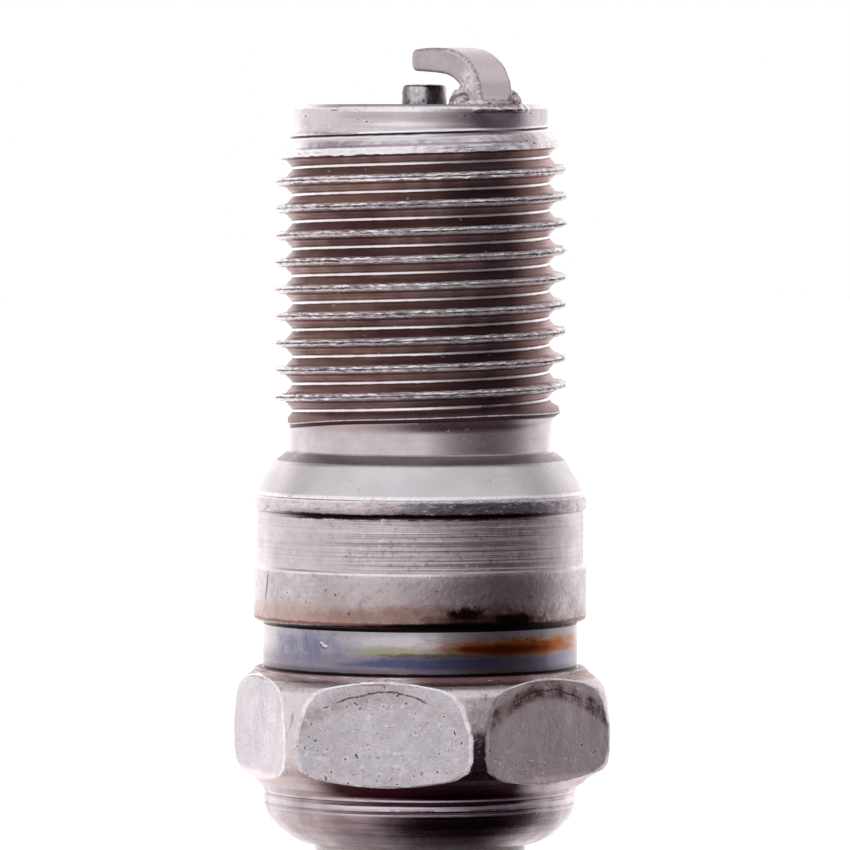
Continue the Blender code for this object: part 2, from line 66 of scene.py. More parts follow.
# The camera stands in front, a little right of the axis and level with the firing end.
CAMERA_AT = (0.21, -370.0, 17.0)
CAMERA_PITCH = math.radians(2.23)
CAMERA_ROLL = math.radians(0.1)
CAMERA_LENS = 337.0

FLOOR_Z = END_Z - 11.0  # clear of the terminal nut when it is screwed off
SIDEWAYS = (1.0, 1.0, 0.0)  # keeps a vector's part across the axis
BACK_SEAM = 90.0  # from +X to the first column of each turned mesh, degrees: the far side


# ---- small helpers
def smooth_min(a, b, radius):
    """The smaller of two arrays, with the corner between them rounded."""
    h = np.clip(0.5 + 0.5 * (b - a) / radius, 0.0, 1.0)
    return b * (1 - h) + a * h - radius * h * (1 - h)


def smooth_step(x, low, high):
    t = np.clip((x - low) / (high - low), 0.0, 1.0)
    return t * t * (3 - 2 * t)


def rough(points, scale, seed):
    """Perlin noise at each point, from about -1 to 1. Scale is a bump's size in mm."""
    shift = Vector((seed * 17.3, seed * 5.1, seed * 9.7))
    values = [noise.noise(Vector(p) / scale + shift) for p in points.reshape(-1, 3)]
    return np.array(values).reshape(points.shape[:-1])


def refine(profile, step):
    """Points added along a polyline of (r, z) so that none lie further apart than step."""
    fine = [profile[0]]
    for a, b in zip(profile, profile[1:]):
        count = max(1, math.ceil(math.dist(a, b) / step))
        for i in range(1, count + 1):
            t = i / count
            fine.append(tuple(p + (q - p) * t for p, q in zip(a, b)))
    return fine


def angles_from(columns):
    """The columns' angles from +X in degrees, once round from the seam at the back."""
    return BACK_SEAM + 360.0 * np.arange(columns) / columns


def on_circles(radius, angle, z):
    """Points from arrays of radius, angle from +X in degrees and height, on a new last axis."""
    turn = np.radians(angle)
    r, a, h = np.broadcast_arrays(radius, turn, z)
    return np.stack([r * np.cos(a), r * np.sin(a), h], axis=-1)


def polar(points):
    """Radius, angle and height of each point."""
    x, y, z = np.moveaxis(points, -1, 0)
    return np.hypot(x, y), np.arctan2(y, x), z


def grid_faces(rows, columns, close_rows=False):
    """Quads of a turned grid whose points run row by row. Rows join round the axis."""
    faces = []
    last = rows if close_rows else rows - 1
    for i in range(last):
        a = i * columns
        b = ((i + 1) % rows) * columns
        for j in range(columns):
            k = (j + 1) % columns
            faces.append((a + j, b + j, b + k, a + k))
    return faces


def make_piece(name, points, faces, body, materials, stands_for=(), zones=None, sharp=40.0,
               values=None):
    """A smooth-shaded closed piece from points in mm. Zones gives each face's material index, and
    values is {name: a number for each point} for the materials to read."""
    mesh = bpy.data.meshes.new(name)
    mesh.from_pydata((np.asarray(points).reshape(-1, 3) * MM).tolist(), [], faces)
    for material in materials:
        mesh.materials.append(material)
    if zones is not None:
        mesh.polygons.foreach_set("material_index", np.asarray(zones, np.int32))
    tidy = bmesh.new()
    tidy.from_mesh(mesh)
    bmesh.ops.recalc_face_normals(tidy, faces=tidy.faces)
    tidy.to_mesh(mesh)
    tidy.free()
    for key, numbers in (values or {}).items():
        layer = mesh.attributes.new(key, "FLOAT", "POINT")
        layer.data.foreach_set("value", np.asarray(numbers, np.float32).ravel())
    mesh.shade_smooth()
    mesh.set_sharp_from_angle(angle=math.radians(sharp))
    obj = bpy.data.objects.new(name, mesh)
    bpy.context.scene.collection.objects.link(obj)
    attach(obj, body)
    if stands_for:
        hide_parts(*stands_for)
    return obj


def turned_piece(name, profile, body, materials, stands_for=(), columns=96, step=0.5,
                 shape=None, sharp=40.0, open_ended=False, coarse_above=None):
    """A closed piece turned from a profile of (r, z). Shape may move the grid's points. Open-ended,
    the profile starts and ends on the axis; else it is a ring's section."""
    ends = list(profile) if open_ended else list(profile) + [profile[0]]
    fine = [ends[0]]
    for a, b in zip(ends, ends[1:]):
        coarse = coarse_above is not None and min(a[1], b[1]) >= coarse_above - 0.1
        fine += refine([a, b], 1.5 if coarse else step)[1:]
    fine = fine[1:-1] if open_ended else fine[:-1]
    angle = angles_from(columns)[None, :]
    radius = np.array([p[0] for p in fine])[:, None]
    z = np.array([p[1] for p in fine])[:, None]
    points = on_circles(radius, angle, z)
    if shape:
        points = shape(points)
    points = points.reshape(-1, 3)
    faces = grid_faces(len(fine), columns, close_rows=not open_ended)
    if open_ended:
        for start in (0, len(points) - columns):
            ring = points[start:start + columns]
            tip = (ring[:, 0].mean(), ring[:, 1].mean(), ring[:, 2].mean())
            points = np.vstack([points, tip])
            last = len(points) - 1
            faces += [(start + j, start + (j + 1) % columns, last) for j in range(columns)]
    return make_piece(name, points, faces, body, materials, stands_for, sharp=sharp)


# ---- shader building
class Field:
    """A number or colour that varies from place to place. Arithmetic on it adds nodes to its tree."""

    def __init__(self, nodes, socket):
        self.nodes = nodes
        self.socket = socket

    def __add__(self, other):
        return self.nodes.math("ADD", self, other)

    def __sub__(self, other):
        return self.nodes.math("SUBTRACT", self, other)

    def __rsub__(self, other):
        return self.nodes.math("SUBTRACT", other, self)

    def __mul__(self, other):
        return self.nodes.math("MULTIPLY", self, other)

    def __truediv__(self, other):
        return self.nodes.math("DIVIDE", self, other)

    def __mod__(self, other):
        return self.nodes.math("FLOORED_MODULO", self, other)

    def __neg__(self):
        return self * -1.0

    def __abs__(self):
        return self.nodes.math("ABSOLUTE", self)

    def ramp(self, low, high, start=0.0, end=1.0):
        """A smooth step from start, where this is low, to end, where it is high."""
        sockets = {0: self, 1: low, 2: high, 3: start, 4: end}
        if low > high:
            sockets = {0: self, 1: high, 2: low, 3: end, 4: start}
        return self.nodes.field("MapRange", sockets, interpolation_type="SMOOTHSTEP")

    def band(self, low, high, soft):
        """1 where this lies between low and high, falling to 0 over soft."""
        return self.ramp(low - soft, low) * self.ramp(high + soft, high)


class Nodes:
    """The nodes of a material or of the world. What field and the methods after it give is a Field."""

    def __init__(self, owner):
        owner.use_nodes = True
        self.tree = owner.node_tree
        self.tree.nodes.clear()

    def node(self, kind, inputs=None, **settings):
        """A new node, with its inputs fed by name or number."""
        made = self.tree.nodes.new("ShaderNode" + kind)
        for key, value in settings.items():
            setattr(made, key, value)
        for key, value in (inputs or {}).items():
            self.feed(made.inputs[key], value)
        return made

    def feed(self, socket, value):
        """Links a field or a socket to an input, or sets the input to a constant."""
        if isinstance(value, Field):
            value = value.socket
        if isinstance(value, bpy.types.NodeSocket):
            self.tree.links.new(value, socket)
        elif isinstance(value, tuple) and len(socket.default_value) == 4:
            socket.default_value = (*value, 1.0)
        else:
            socket.default_value = value

    def field(self, kind, inputs, output=0, **settings):
        return Field(self, self.node(kind, inputs, **settings).outputs[output])

    def math(self, operation, a, b=0.0):
        return self.field("Math", {0: a, 1: b}, operation=operation)

    def split(self, vector):
        return [Field(self, part) for part in self.node("SeparateXYZ", {0: vector}).outputs]

    def mix(self, factor, a, b):
        return self.field("Mix", {0: factor, 6: a, 7: b}, output=2, data_type="RGBA")

    def blend(self, factor, a, b):
        """Like mix, for two numbers."""
        return self.field("Mix", {0: factor, 2: a, 3: b})


class Shader(Nodes):
    """One material's nodes. At is the place on the surface in mm, x, y and z are its parts, and
    bearing is its bearing in degrees."""

    def __init__(self, name, metallic=1.0):
        self.material = bpy.data.materials.new(name)
        super().__init__(self.material)
        self.surface = self.node("BsdfPrincipled", {"Metallic": metallic})
        self.node("OutputMaterial", {"Surface": self.surface.outputs[0]})
        here = self.node("TexCoord").outputs["Object"]
        self.at = self.node("VectorMath", {0: here, "Scale": 1.0 / MM}, operation="SCALE").outputs[0]
        self.x, self.y, self.z = self.split(self.at)
        self.bearing = self.math("DEGREES", self.math("ARCTAN2", self.x, -self.y))

    def noise(self, size, detail=3.0, roughness=0.55, stretch=(1.0, 1.0), seed=0.0):
        """Noise from about 0.2 to 0.8 in blotches of a size in mm. Stretch multiplies how fast it
        varies across and along the axis."""
        across, along = stretch
        scales = (across, across, along)
        where = self.node("VectorMath", {0: self.at, 1: scales}, operation="MULTIPLY").outputs[0]
        sockets = {"Vector": where, "Scale": 1.0 / size, "Detail": detail, "W": seed,
                   "Roughness": roughness}
        return self.field("TexNoise", sockets, noise_dimensions="4D")

    def cells(self, size, shift):
        """Distance from the nearest of scattered points, moved about by noise, 0 at each point."""
        warp = self.node("TexNoise", {"Vector": self.at, "Scale": 1.5}).outputs["Color"]
        moved = self.node("VectorMath", {0: warp, "Scale": shift}, operation="SCALE").outputs[0]
        where = self.node("VectorMath", {0: self.at, 1: moved}, operation="ADD").outputs[0]
        return self.field("TexVoronoi", {"Vector": where, "Scale": 1.0 / size}, output="Distance")

    def value(self, name):
        """The number that the mesh holds at each point under this name."""
        return self.field("Attribute", {}, output="Fac", attribute_name=name)

    def patch(self, bearing, z, wide, tall, soft=0.6, ragged=0.5, size=1.0, lean=0.0, strength=1.0,
              stretch=(1.0, 1.0)):
        """1 inside a ragged oval round (bearing, z), with half-sizes in degrees and mm."""
        across = (self.bearing - bearing - (self.z - z) * lean) / wide
        up = (self.z - z) / tall
        grain = self.noise(size, 5.0, 0.65, stretch, bearing + z) - 0.5
        reach = self.math("SQRT", across * across + up * up) + grain * (2.0 * ragged)
        return reach.ramp(1.0 + soft / 2, 1.0 - soft / 2, 0.0, strength)

    def streak(self, *place, **settings):
        """A patch whose raggedness runs round the axis."""
        return self.patch(*place, stretch=(0.22, 2.2), **settings)

    def paint(self, colour, layers):
        """Colour with each (mask, colour) of layers laid over it."""
        for mask, tone in layers:
            colour = self.mix(mask, colour, tone)
        return colour

    def finish(self, colour, roughness, bumps, metallic=None):
        """The material, with bumps laid over each other, each (height, depth in mm)."""
        normal = None
        for height, depth in bumps:
            sockets = {"Height": height, "Distance": depth * MM, "Strength": 1.0}
            if normal:
                sockets["Normal"] = normal
            normal = self.node("Bump", sockets).outputs[0]
        feeds = {"Base Color": colour, "Roughness": roughness, "Normal": normal, "Metallic": metallic}
        for key, value in feeds.items():
            if value is not None:
                self.feed(self.surface.inputs[key], value)
        return self.material


# ---- camera, floor and light
def make_camera():
    data = bpy.data.cameras.new("camera")
    data.lens = CAMERA_LENS
    data.sensor_width = 36.0
    data.clip_start = 0.01
    data.clip_end = 20.0
    camera = bpy.data.objects.new("camera", data)
    camera.location = Vector(CAMERA_AT) * MM
    look = Matrix.Rotation(math.radians(90.0) - CAMERA_PITCH, 3, "X")
    roll = Matrix.Rotation(CAMERA_ROLL, 3, "Z")
    camera.rotation_euler = (look @ roll).to_euler()
    bpy.context.scene.collection.objects.link(camera)
    bpy.context.scene.camera = camera


# Brightness of the studio at each bearing: white behind the plug, and dark to the front right.
STUDIO = [
    (-180, 0.88), (-150, 0.76), (-125, 0.6), (-104, 0.51), (-75, 0.455), (-50, 0.455), (-20, 0.5),
    (-5, 0.51), (8, 0.39), (15, 0.27), (35, 0.115), (57, 0.058), (74, 0.072), (92, 0.115), (105, 0.24),
    (118, 0.46), (150, 0.68), (180, 0.88),
]
STUDIO_STRENGTH = 1.9
DIM_TINT = (1.18, 0.96, 1.06)  # of the dark panels
MIDDLE_TINT = (1.045, 0.985, 1.0)
WHITE_TINT = (1.0, 0.935, 0.94)  # of the backdrop
SOFTBOX_LEFT = (0.52, 0.505, 0.52)
SOFTBOX_RIGHT = (0.44, 0.42, 0.435)
CEILING = (0.15, 0.125, 0.13)
BELOW_LEFT = (0.42, 0.345, 0.345)
BELOW_RIGHT = (0.02, 0.009, 0.014)
BELOW_BACK = (0.5, 0.46, 0.46)
WHITE = (1.0, 1.0, 1.0)


def make_world():
    """A studio drawn on the sky: a white backdrop, a soft box above the camera, dark below."""
    world = bpy.data.worlds.new("studio")
    bpy.context.scene.world = world
    studio = Nodes(world)
    x, y, z = studio.split(studio.node("TexCoord").outputs["Generated"])
    share = studio.field("MapRange", {0: studio.math("ARCTAN2", x, -y), 1: -math.pi, 2: math.pi})
    ring = studio.node("ValToRGB", {0: share})
    elements = ring.color_ramp.elements
    elements[0].position = 0.0
    elements[1].position = 1.0
    for bearing, _ in STUDIO[1:-1]:
        elements.new((bearing + 180.0) / 360.0)
    for element, (_, level) in zip(elements, STUDIO):
        tint = [np.interp(level, (0.06, 0.3, 0.5, 0.8), (d, m, m, w))
                for d, m, w in zip(DIM_TINT, MIDDLE_TINT, WHITE_TINT)]
        element.color = (*(level * c for c in tint), 1.0)

    softbox = studio.mix(x.ramp(-0.5, 0.6), SOFTBOX_LEFT, SOFTBOX_RIGHT)
    above = studio.mix((y - abs(x) * 0.5).ramp(-0.3, 0.05), softbox, CEILING)
    below = studio.mix(x.ramp(-0.8, 0.1), BELOW_LEFT, BELOW_RIGHT)
    below = studio.mix(y.ramp(0.2, 0.8), below, BELOW_BACK)
    sky = studio.mix(z.ramp(0.35, 0.72), ring.outputs[0], above)
    sky = studio.mix((-z).ramp(0.12, 0.5), sky, below)
    lit = studio.node("Background", {"Color": sky, "Strength": STUDIO_STRENGTH}).outputs[0]
    white = studio.node("Background", {"Color": WHITE, "Strength": 1.0}).outputs[0]
    seen = studio.node("LightPath").outputs["Is Camera Ray"]
    shown = studio.node("MixShader", {0: seen, 1: lit, 2: white}).outputs[0]
    studio.node("OutputWorld", {"Surface": shown})


def make_floor():
    """A plain white floor, seen by the camera but kept out of the plug's reflections."""
    mesh = bpy.data.meshes.new("floor")
    half = 3.0
    z = FLOOR_Z * MM
    corners = [(-half, -half, z), (half, -half, z), (half, half, z), (-half, half, z)]
    mesh.from_pydata(corners, [], [(0, 1, 2, 3)])
    floor = bpy.data.objects.new("floor", mesh)
    bpy.context.scene.collection.objects.link(floor)
    floor.visible_glossy = False
    floor.visible_diffuse = False
    material = bpy.data.materials.new("floor_white")
    material.use_nodes = True
    surface = material.node_tree.nodes["Principled BSDF"]
    surface.inputs["Base Color"].default_value = (0.8, 0.8, 0.8, 1.0)
    surface.inputs["Roughness"].default_value = 0.9
    surface.inputs["Emission Color"].default_value = (1.0, 1.0, 1.0, 1.0)
    surface.inputs["Emission Strength"].default_value = 0.75
    mesh.materials.append(material)


make_camera()
make_world()
make_floor()
bpy.context.scene.view_settings.view_transform = "Standard"
bpy.context.scene.view_settings.look = "None"


# ---- steel
STEEL_LIGHT = (0.7, 0.67, 0.69)
STEEL_DARK = (0.56, 0.53, 0.55)
# Bare steel, also laid on as painted highlights at the front of the shell.
BARE_STEEL_AND_HIGHLIGHT = (0.95, 0.94, 0.96)
SOOT = (0.075, 0.055, 0.055)


def steel(name, light, dark, roughness, grain=0.002, streaks=0.003, pits=0.015, pit_share=0.55,
          pit_size=0.5):
    """Worn steel: (shader, colour, roughness, bumps) for a zone's own marks to be added to."""
    made = Shader(name)
    cloud = made.noise(1.7, 5, 0.6).ramp(0.3, 0.7)
    lines = made.noise(1, 3, stretch=(0.25, 6))
    fine = made.noise(0.11, 4, 0.65)
    sparse = made.noise(1.3, seed=7).ramp(pit_share, pit_share + 0.08)
    scattered = made.cells(pit_size, 0.8)
    pitted = scattered.ramp(0.15, 0.05) * sparse
    halo = scattered.ramp(0.27, 0.16) * sparse
    bright = tuple(min(1, 1.3 * c) for c in light)
    colour = made.paint(made.mix(cloud, dark, light), [
        (lines.ramp(0.58, 0.75, 0, 0.35), bright),
        (lines.ramp(0.42, 0.25, 0, 0.35), tuple(0.6 * c for c in dark)),
        (fine.ramp(0.56, 0.7, 0, 0.4), bright),
        (fine.ramp(0.44, 0.3, 0, 0.4), tuple(0.6 * c for c in dark)),
        (halo * 0.5, bright),
        (pitted * 0.9, SOOT),
    ])
    worn = fine.ramp(0.3, 0.7, -0.06, 0.06) + cloud.ramp(0, 1, 0.04, -0.04) + roughness
    bumps = [(lines, streaks), (fine, grain), (pitted * -1, pits)]
    return made, colour, worn, bumps


# Pits in the barrel's plain rim and first crest: bearing, z, and half-sizes in degrees and mm.
BARREL_PITS = [
    (-64.8, 16.94, 1.6, 0.05), (-42.5, 17.22, 2.4, 0.03), (-25, 16.7, 0.8, 0.04), (20.1, 16.97, 1, 0.05),
    (51, 15.85, 0.8, 0.05), (46, 15.77, 0.9, 0.04), (54, 15.72, 0.9, 0.04), (59, 17.1, 1.5, 0.03),
]


def barrel_steel():
    """The threaded barrel: bare crests and roots, flanks baked brown, and painted light and shade on the
    flanks and the pilot.
    """
    made, colour, worn, bumps = steel("barrel_steel", STEEL_LIGHT, STEEL_DARK, 0.3)
    lift = made.math("ARCTAN2", made.y, made.x) * (PITCH / math.tau)
    signed = (made.z - lift - (CREST_PHASE - PITCH / 2)) % PITCH - PITCH / 2
    off_crest = abs(signed)  # height from the nearest crest
    climb = made.value("climb")  # height less the thread's rise round the axis
    full = climb.ramp(3.7, 3.76) * climb.ramp(15.6, 15.54)
    threaded = climb.ramp(3.72, 3.78) * climb.ramp(16.3, 16.2)
    wander = (made.noise(0.5, 4) - 0.5) * 0.1
    chipped = made.noise(0.3, 4, 0.7, seed=11).ramp(0.38, 0.48, 0.5, 1)
    baked = (off_crest + wander).band(0.185, 0.56, 0.02) * full
    past = climb - abs(made.bearing).ramp(85, 25, 3.26, 3.43)  # height above the last crest
    last_line = past.band(-0.015, 0.02, 0.015) * chipped
    last_turn = past.ramp(-0.21, -0.18) * climb.ramp(3.8, 3.76) * (1 - last_line)
    baked = made.math("MAXIMUM", baked, last_turn)
    lip = (off_crest + wander).band(0.03, 0.17, 0.02) * chipped * threaded
    bands = made.noise(1, 3, stretch=(0.15, 1.6), seed=3).ramp(0.38, 0.62)
    # The flanks below the crests get a lighter brown than those above: painted light on the flanks that
    # face down.
    above = made.mix(bands, (0.19, 0.122, 0.118), (0.37, 0.265, 0.24))
    below = made.mix(bands, (0.34, 0.228, 0.22), (0.62, 0.455, 0.42))
    lower = signed.ramp(0.02, -0.02)
    brown = made.mix(lower, above, below)
    by_crest = off_crest.band(0.19, 0.25, 0.04) * lower
    pale_line = off_crest.band(0.42, 0.48, 0.03) * lower
    by_root = off_crest.band(0.52, 0.57, 0.04)
    # Painted shade on the upper flanks at the front right; painted light on the flanks at the right and on
    # the lower flanks at the front.
    shaded = made.bearing.band(-8, 40, 16) * (1 - lower)
    middle = made.bearing.band(-8, 18, 14) * lower
    lit = made.bearing.ramp(40, 62) * made.bearing.ramp(175, 150)
    brown = made.paint(brown, [
        (shaded * 0.55, (0.07, 0.035, 0.045)),
        (lit * 0.4, (0.8, 0.6, 0.58)),
        (middle * 0.75, (0.8, 0.62, 0.59)),
        (climb.ramp(3.85, 3.75) * 0.6, (0.1, 0.05, 0.055)),
        (by_crest * 0.55, (0.08, 0.045, 0.045)),
        (pale_line * bands.ramp(0, 1, 0.15, 0.6), (0.8, 0.64, 0.58)),
        (by_root * 0.65, (0.07, 0.04, 0.045)),
        (past.ramp(0.02, -0.02) * 0.9, (0.04, 0.016, 0.022)),
    ])
    flecks = made.cells(0.9, 0.5).ramp(0.11, 0.05, 0, 0.8)
    brown = made.mix(flecks, brown, STEEL_LIGHT)
    seam = off_crest.ramp(0.045, 0.015) * threaded * climb.ramp(15.5, 15.4)
    first_lip = (climb + wander).band(15.57, 15.74, 0.05)
    root = off_crest.ramp(0.575, 0.595)
    below_weld = made.patch(38, 16.9, 16, 0.75, ragged=0.25, size=0.7)
    under_rim = made.z.band(17.18, 17.28, 0.04) * made.patch(2, 17.2, 34, 1)
    step = made.z - made.bearing * 0.003 + wander * 0.5
    near = abs(made.bearing).ramp(150, 120)
    # A painted highlight and a painted shade streak on the pilot's front.
    gleam = made.patch(0, 16.58, 26, 0.1, ragged=0.3, soft=0.8, strength=0.7)
    shade = made.streak(-3, 16.95, 30, 0.16, ragged=0.6, soft=1, strength=0.45)
    top_band = climb.band(15.6, 16.26, 0.05)
    colour = made.paint(colour, [
        (top_band * 0.8, (0.8, 0.77, 0.8)),
        (shade, (0.42, 0.4, 0.45)),
        (gleam, BARE_STEEL_AND_HIGHLIGHT),
        (lip, BARE_STEEL_AND_HIGHLIGHT),
        (first_lip * chipped, BARE_STEEL_AND_HIGHLIGHT),
        (seam * bands.ramp(0, 0.5, 0.25, 0.8) * 0.9, (0.07, 0.055, 0.06)),
        (root * threaded, (1, 0.99, 1)),
        (baked, brown),
        # Along the pilot's lower edge, round the front and sides: a painted shadow line between two
        # painted highlight lines.
        (step.band(16.24, 16.31, 0.02) * near, BARE_STEEL_AND_HIGHLIGHT),
        (step.band(16.14, 16.22, 0.02) * near, (0.045, 0.035, 0.045)),
        (step.band(16.04, 16.09, 0.02) * near, BARE_STEEL_AND_HIGHLIGHT),
        (below_weld * 0.75, (0.3, 0.25, 0.31)),
        (under_rim * chipped, BARE_STEEL_AND_HIGHLIGHT),
        (made.z.ramp(17.27, 17.31) * chipped.ramp(0.5, 1, 0.2, 0.8), BARE_STEEL_AND_HIGHLIGHT),
    ])
    for bearing, z, wide, tall in BARREL_PITS:
        halo = made.patch(bearing, z, 2.6 * wide, 1.8 * tall, ragged=0.5, size=0.2, strength=0.5)
        pit = made.patch(bearing, z, wide, tall, ragged=0.9, size=0.12, soft=0.4)
        colour = made.paint(colour, [(halo, (0.86, 0.82, 0.83)), (pit * 0.75, SOOT)])
    chewed = made.noise(0.16, 3, 0.6, seed=41) * lip
    dull = lip * made.bearing.band(10, 75, 35)
    return made.finish(colour, made.blend(baked, worn, 0.36), bumps + [(chewed, 0.015)],
                       metallic=dull.ramp(0, 1, 1, 0.65))


def collar_steel():
    """The neck's flare, the seat's cone and rim, the turned recess and the band below it."""
    made, colour, worn, bumps = steel("collar_steel", STEEL_LIGHT, STEEL_DARK, 0.32)
    flare = made.z.band(1, 1.36, 0.05)
    cone = made.z.band(-0.45, 0.98, 0.05)
    seat = made.z.band(-1.28, -0.62, 0.06)
    edge = made.z.band(-0.64, -0.46, 0.1)
    recess = made.z.band(-3.8, -1.42, 0.03)
    shoulder = made.z.band(-4.02, -3.82, 0.04)
    cut = made.noise(1, 4, 0.7, stretch=(0.05, 9), seed=2)
    rag = made.noise(0.35, 5, 0.72, stretch=(0.5, 1.3))
    rough_line = made.z + (rag - 0.5) * 0.25
    line = rough_line.band(-1.46, -1.22, 0.05)
    # Painted glint on the shoulder, strongest at the front.
    glint = abs(made.bearing + 8).ramp(60, 15, 0.35, 1)
    patchy = made.noise(0.9, 5, 0.7, seed=23)
    mottled = made.noise(0.28, 5, 0.7, seed=19)
    # Painted shade on the seat's front right.
    painted_shade_on_seat = made.patch(24, -1.1, 31, 0.9, ragged=0.25, soft=1) * seat
    low_seat = made.z.ramp(-0.85, -1.25) * seat
    middle = abs(made.bearing + 3).ramp(62, 38)
    # Turning marks in the recess, drawn stronger towards the front: the marks are real, and their bright
    # lines there are painted highlights.
    scoring_and_glint = abs(made.bearing - 10).ramp(56, 26, 0.2, 1) * recess
    tan = made.patch(-50, -5.85, 34, 0.6, ragged=1.5, size=0.8, soft=1.5)
    soot = made.patch(16, -5.78, 6.5, 0.26, ragged=1.4, size=0.5, soft=0.9)
    soot_right = made.patch(34, -6.05, 9, 0.24, ragged=1.4, size=0.5, soft=0.9)
    scorch = made.patch(24, -5.85, 22, 0.48, ragged=1, size=0.6, soft=1.1)
    spots = made.noise(0.3, 4, 0.7, seed=9).ramp(0.6, 0.68)
    in_band = made.z.ramp(-3.9, -4.1)
    low = made.z.ramp(-5.3, -6.2)
    # Painted shadow under the band's step, at the groove's top, thickest at the front right.
    painted_shadow_gap = (rough_line + abs(made.bearing - 15) * 0.0042).ramp(-6.06, -6.2)
    colour = made.paint(colour, [
        (flare * 0.9, (0.225, 0.19, 0.2)),
        (cone * 0.7, (0.66, 0.655, 0.665)),
        (seat * mottled.ramp(0.35, 0.65, 0.9, 0.4), (0.82, 0.78, 0.79)),
        (seat * rag.ramp(0.47, 0.38, 0, 0.6), (0.3, 0.25, 0.27)),
        (seat * rag.ramp(0.57, 0.64, 0, 0.8), BARE_STEEL_AND_HIGHLIGHT),
        (painted_shade_on_seat * rag.ramp(0.62, 0.52, 0.35, 0.9), (0.12, 0.095, 0.15)),
        # Painted shade on the seat's lower part and a painted shadow line under its edge, both at the
        # front.
        (low_seat * middle * 0.6, (0.1, 0.07, 0.09)),
        (edge * mottled.ramp(0.36, 0.52, 0.55, 1), BARE_STEEL_AND_HIGHLIGHT),
        (line * middle, (0.03, 0.008, 0.012)),
        (scoring_and_glint * cut.ramp(0.52, 0.38, 0, 0.8), (0.22, 0.19, 0.21)),
        (scoring_and_glint * cut.ramp(0.56, 0.66, 0, 0.8), BARE_STEEL_AND_HIGHLIGHT),
        (scoring_and_glint * mottled.ramp(0.46, 0.36, 0, 0.6), (0.26, 0.23, 0.25)),
        (scoring_and_glint * mottled.ramp(0.58, 0.66, 0, 0.6), BARE_STEEL_AND_HIGHLIGHT),
        (shoulder * glint, BARE_STEEL_AND_HIGHLIGHT),
        (in_band * patchy.ramp(0.47, 0.34, 0, 0.6), (0.38, 0.32, 0.33)),
        (in_band * patchy.ramp(0.55, 0.68, 0, 0.5), (0.82, 0.8, 0.82)),
        (in_band * mottled.ramp(0.5, 0.34, 0, 0.5), (0.33, 0.28, 0.29)),
        (in_band * mottled.ramp(0.6, 0.7, 0, 0.6), (0.9, 0.88, 0.9)),
        # Painted shade on the band: darker at the front, and darker still at the front right.
        (made.patch(4, -5.1, 40, 1.2, ragged=0.6, size=1.5, soft=1, strength=0.45), (0.36, 0.3, 0.31)),
        (made.patch(28, -4.8, 26, 0.85, ragged=0.6, size=1.5, soft=1, strength=0.62), (0.24, 0.205, 0.23)),
        (low * mottled.ramp(0.35, 0.6, 0.75, 0.35), (0.33, 0.225, 0.2)),
        (tan * patchy.ramp(0.38, 0.58, 0.25, 0.85), (0.5, 0.36, 0.3)),
        (rough_line.band(-6.3, -6.22, 0.04) * 0.75, (0.22, 0.075, 0.06)),
        (scorch * mottled.ramp(0.62, 0.44, 0.3, 0.85), (0.13, 0.07, 0.06)),
        (made.patch(2, -5.85, 34, 0.45, ragged=0.9, size=0.8, soft=1, strength=0.6), (0.25, 0.13, 0.1)),
        (made.patch(24, -6.1, 21, 0.3, ragged=1, size=0.6, soft=1, strength=0.85), (0.055, 0.022, 0.018)),
        (soot, (0.012, 0.005, 0.004)),
        (soot_right, (0.016, 0.006, 0.004)),
        (made.patch(5, -5.3, 50, 1.1, ragged=0.4) * spots, SOOT),
        (made.patch(-66, -4.7, 0.6, 0.7, ragged=0.5, size=0.4, soft=0.4, lean=2), (0.2, 0.14, 0.13)),
        (painted_shadow_gap, (0.012, 0.006, 0.006)),
    ])
    relief = [(scoring_and_glint * cut, 0.05), (seat * rag, 0.13), (in_band * mottled, 0.035)]
    return made.finish(colour, worn, bumps + relief)


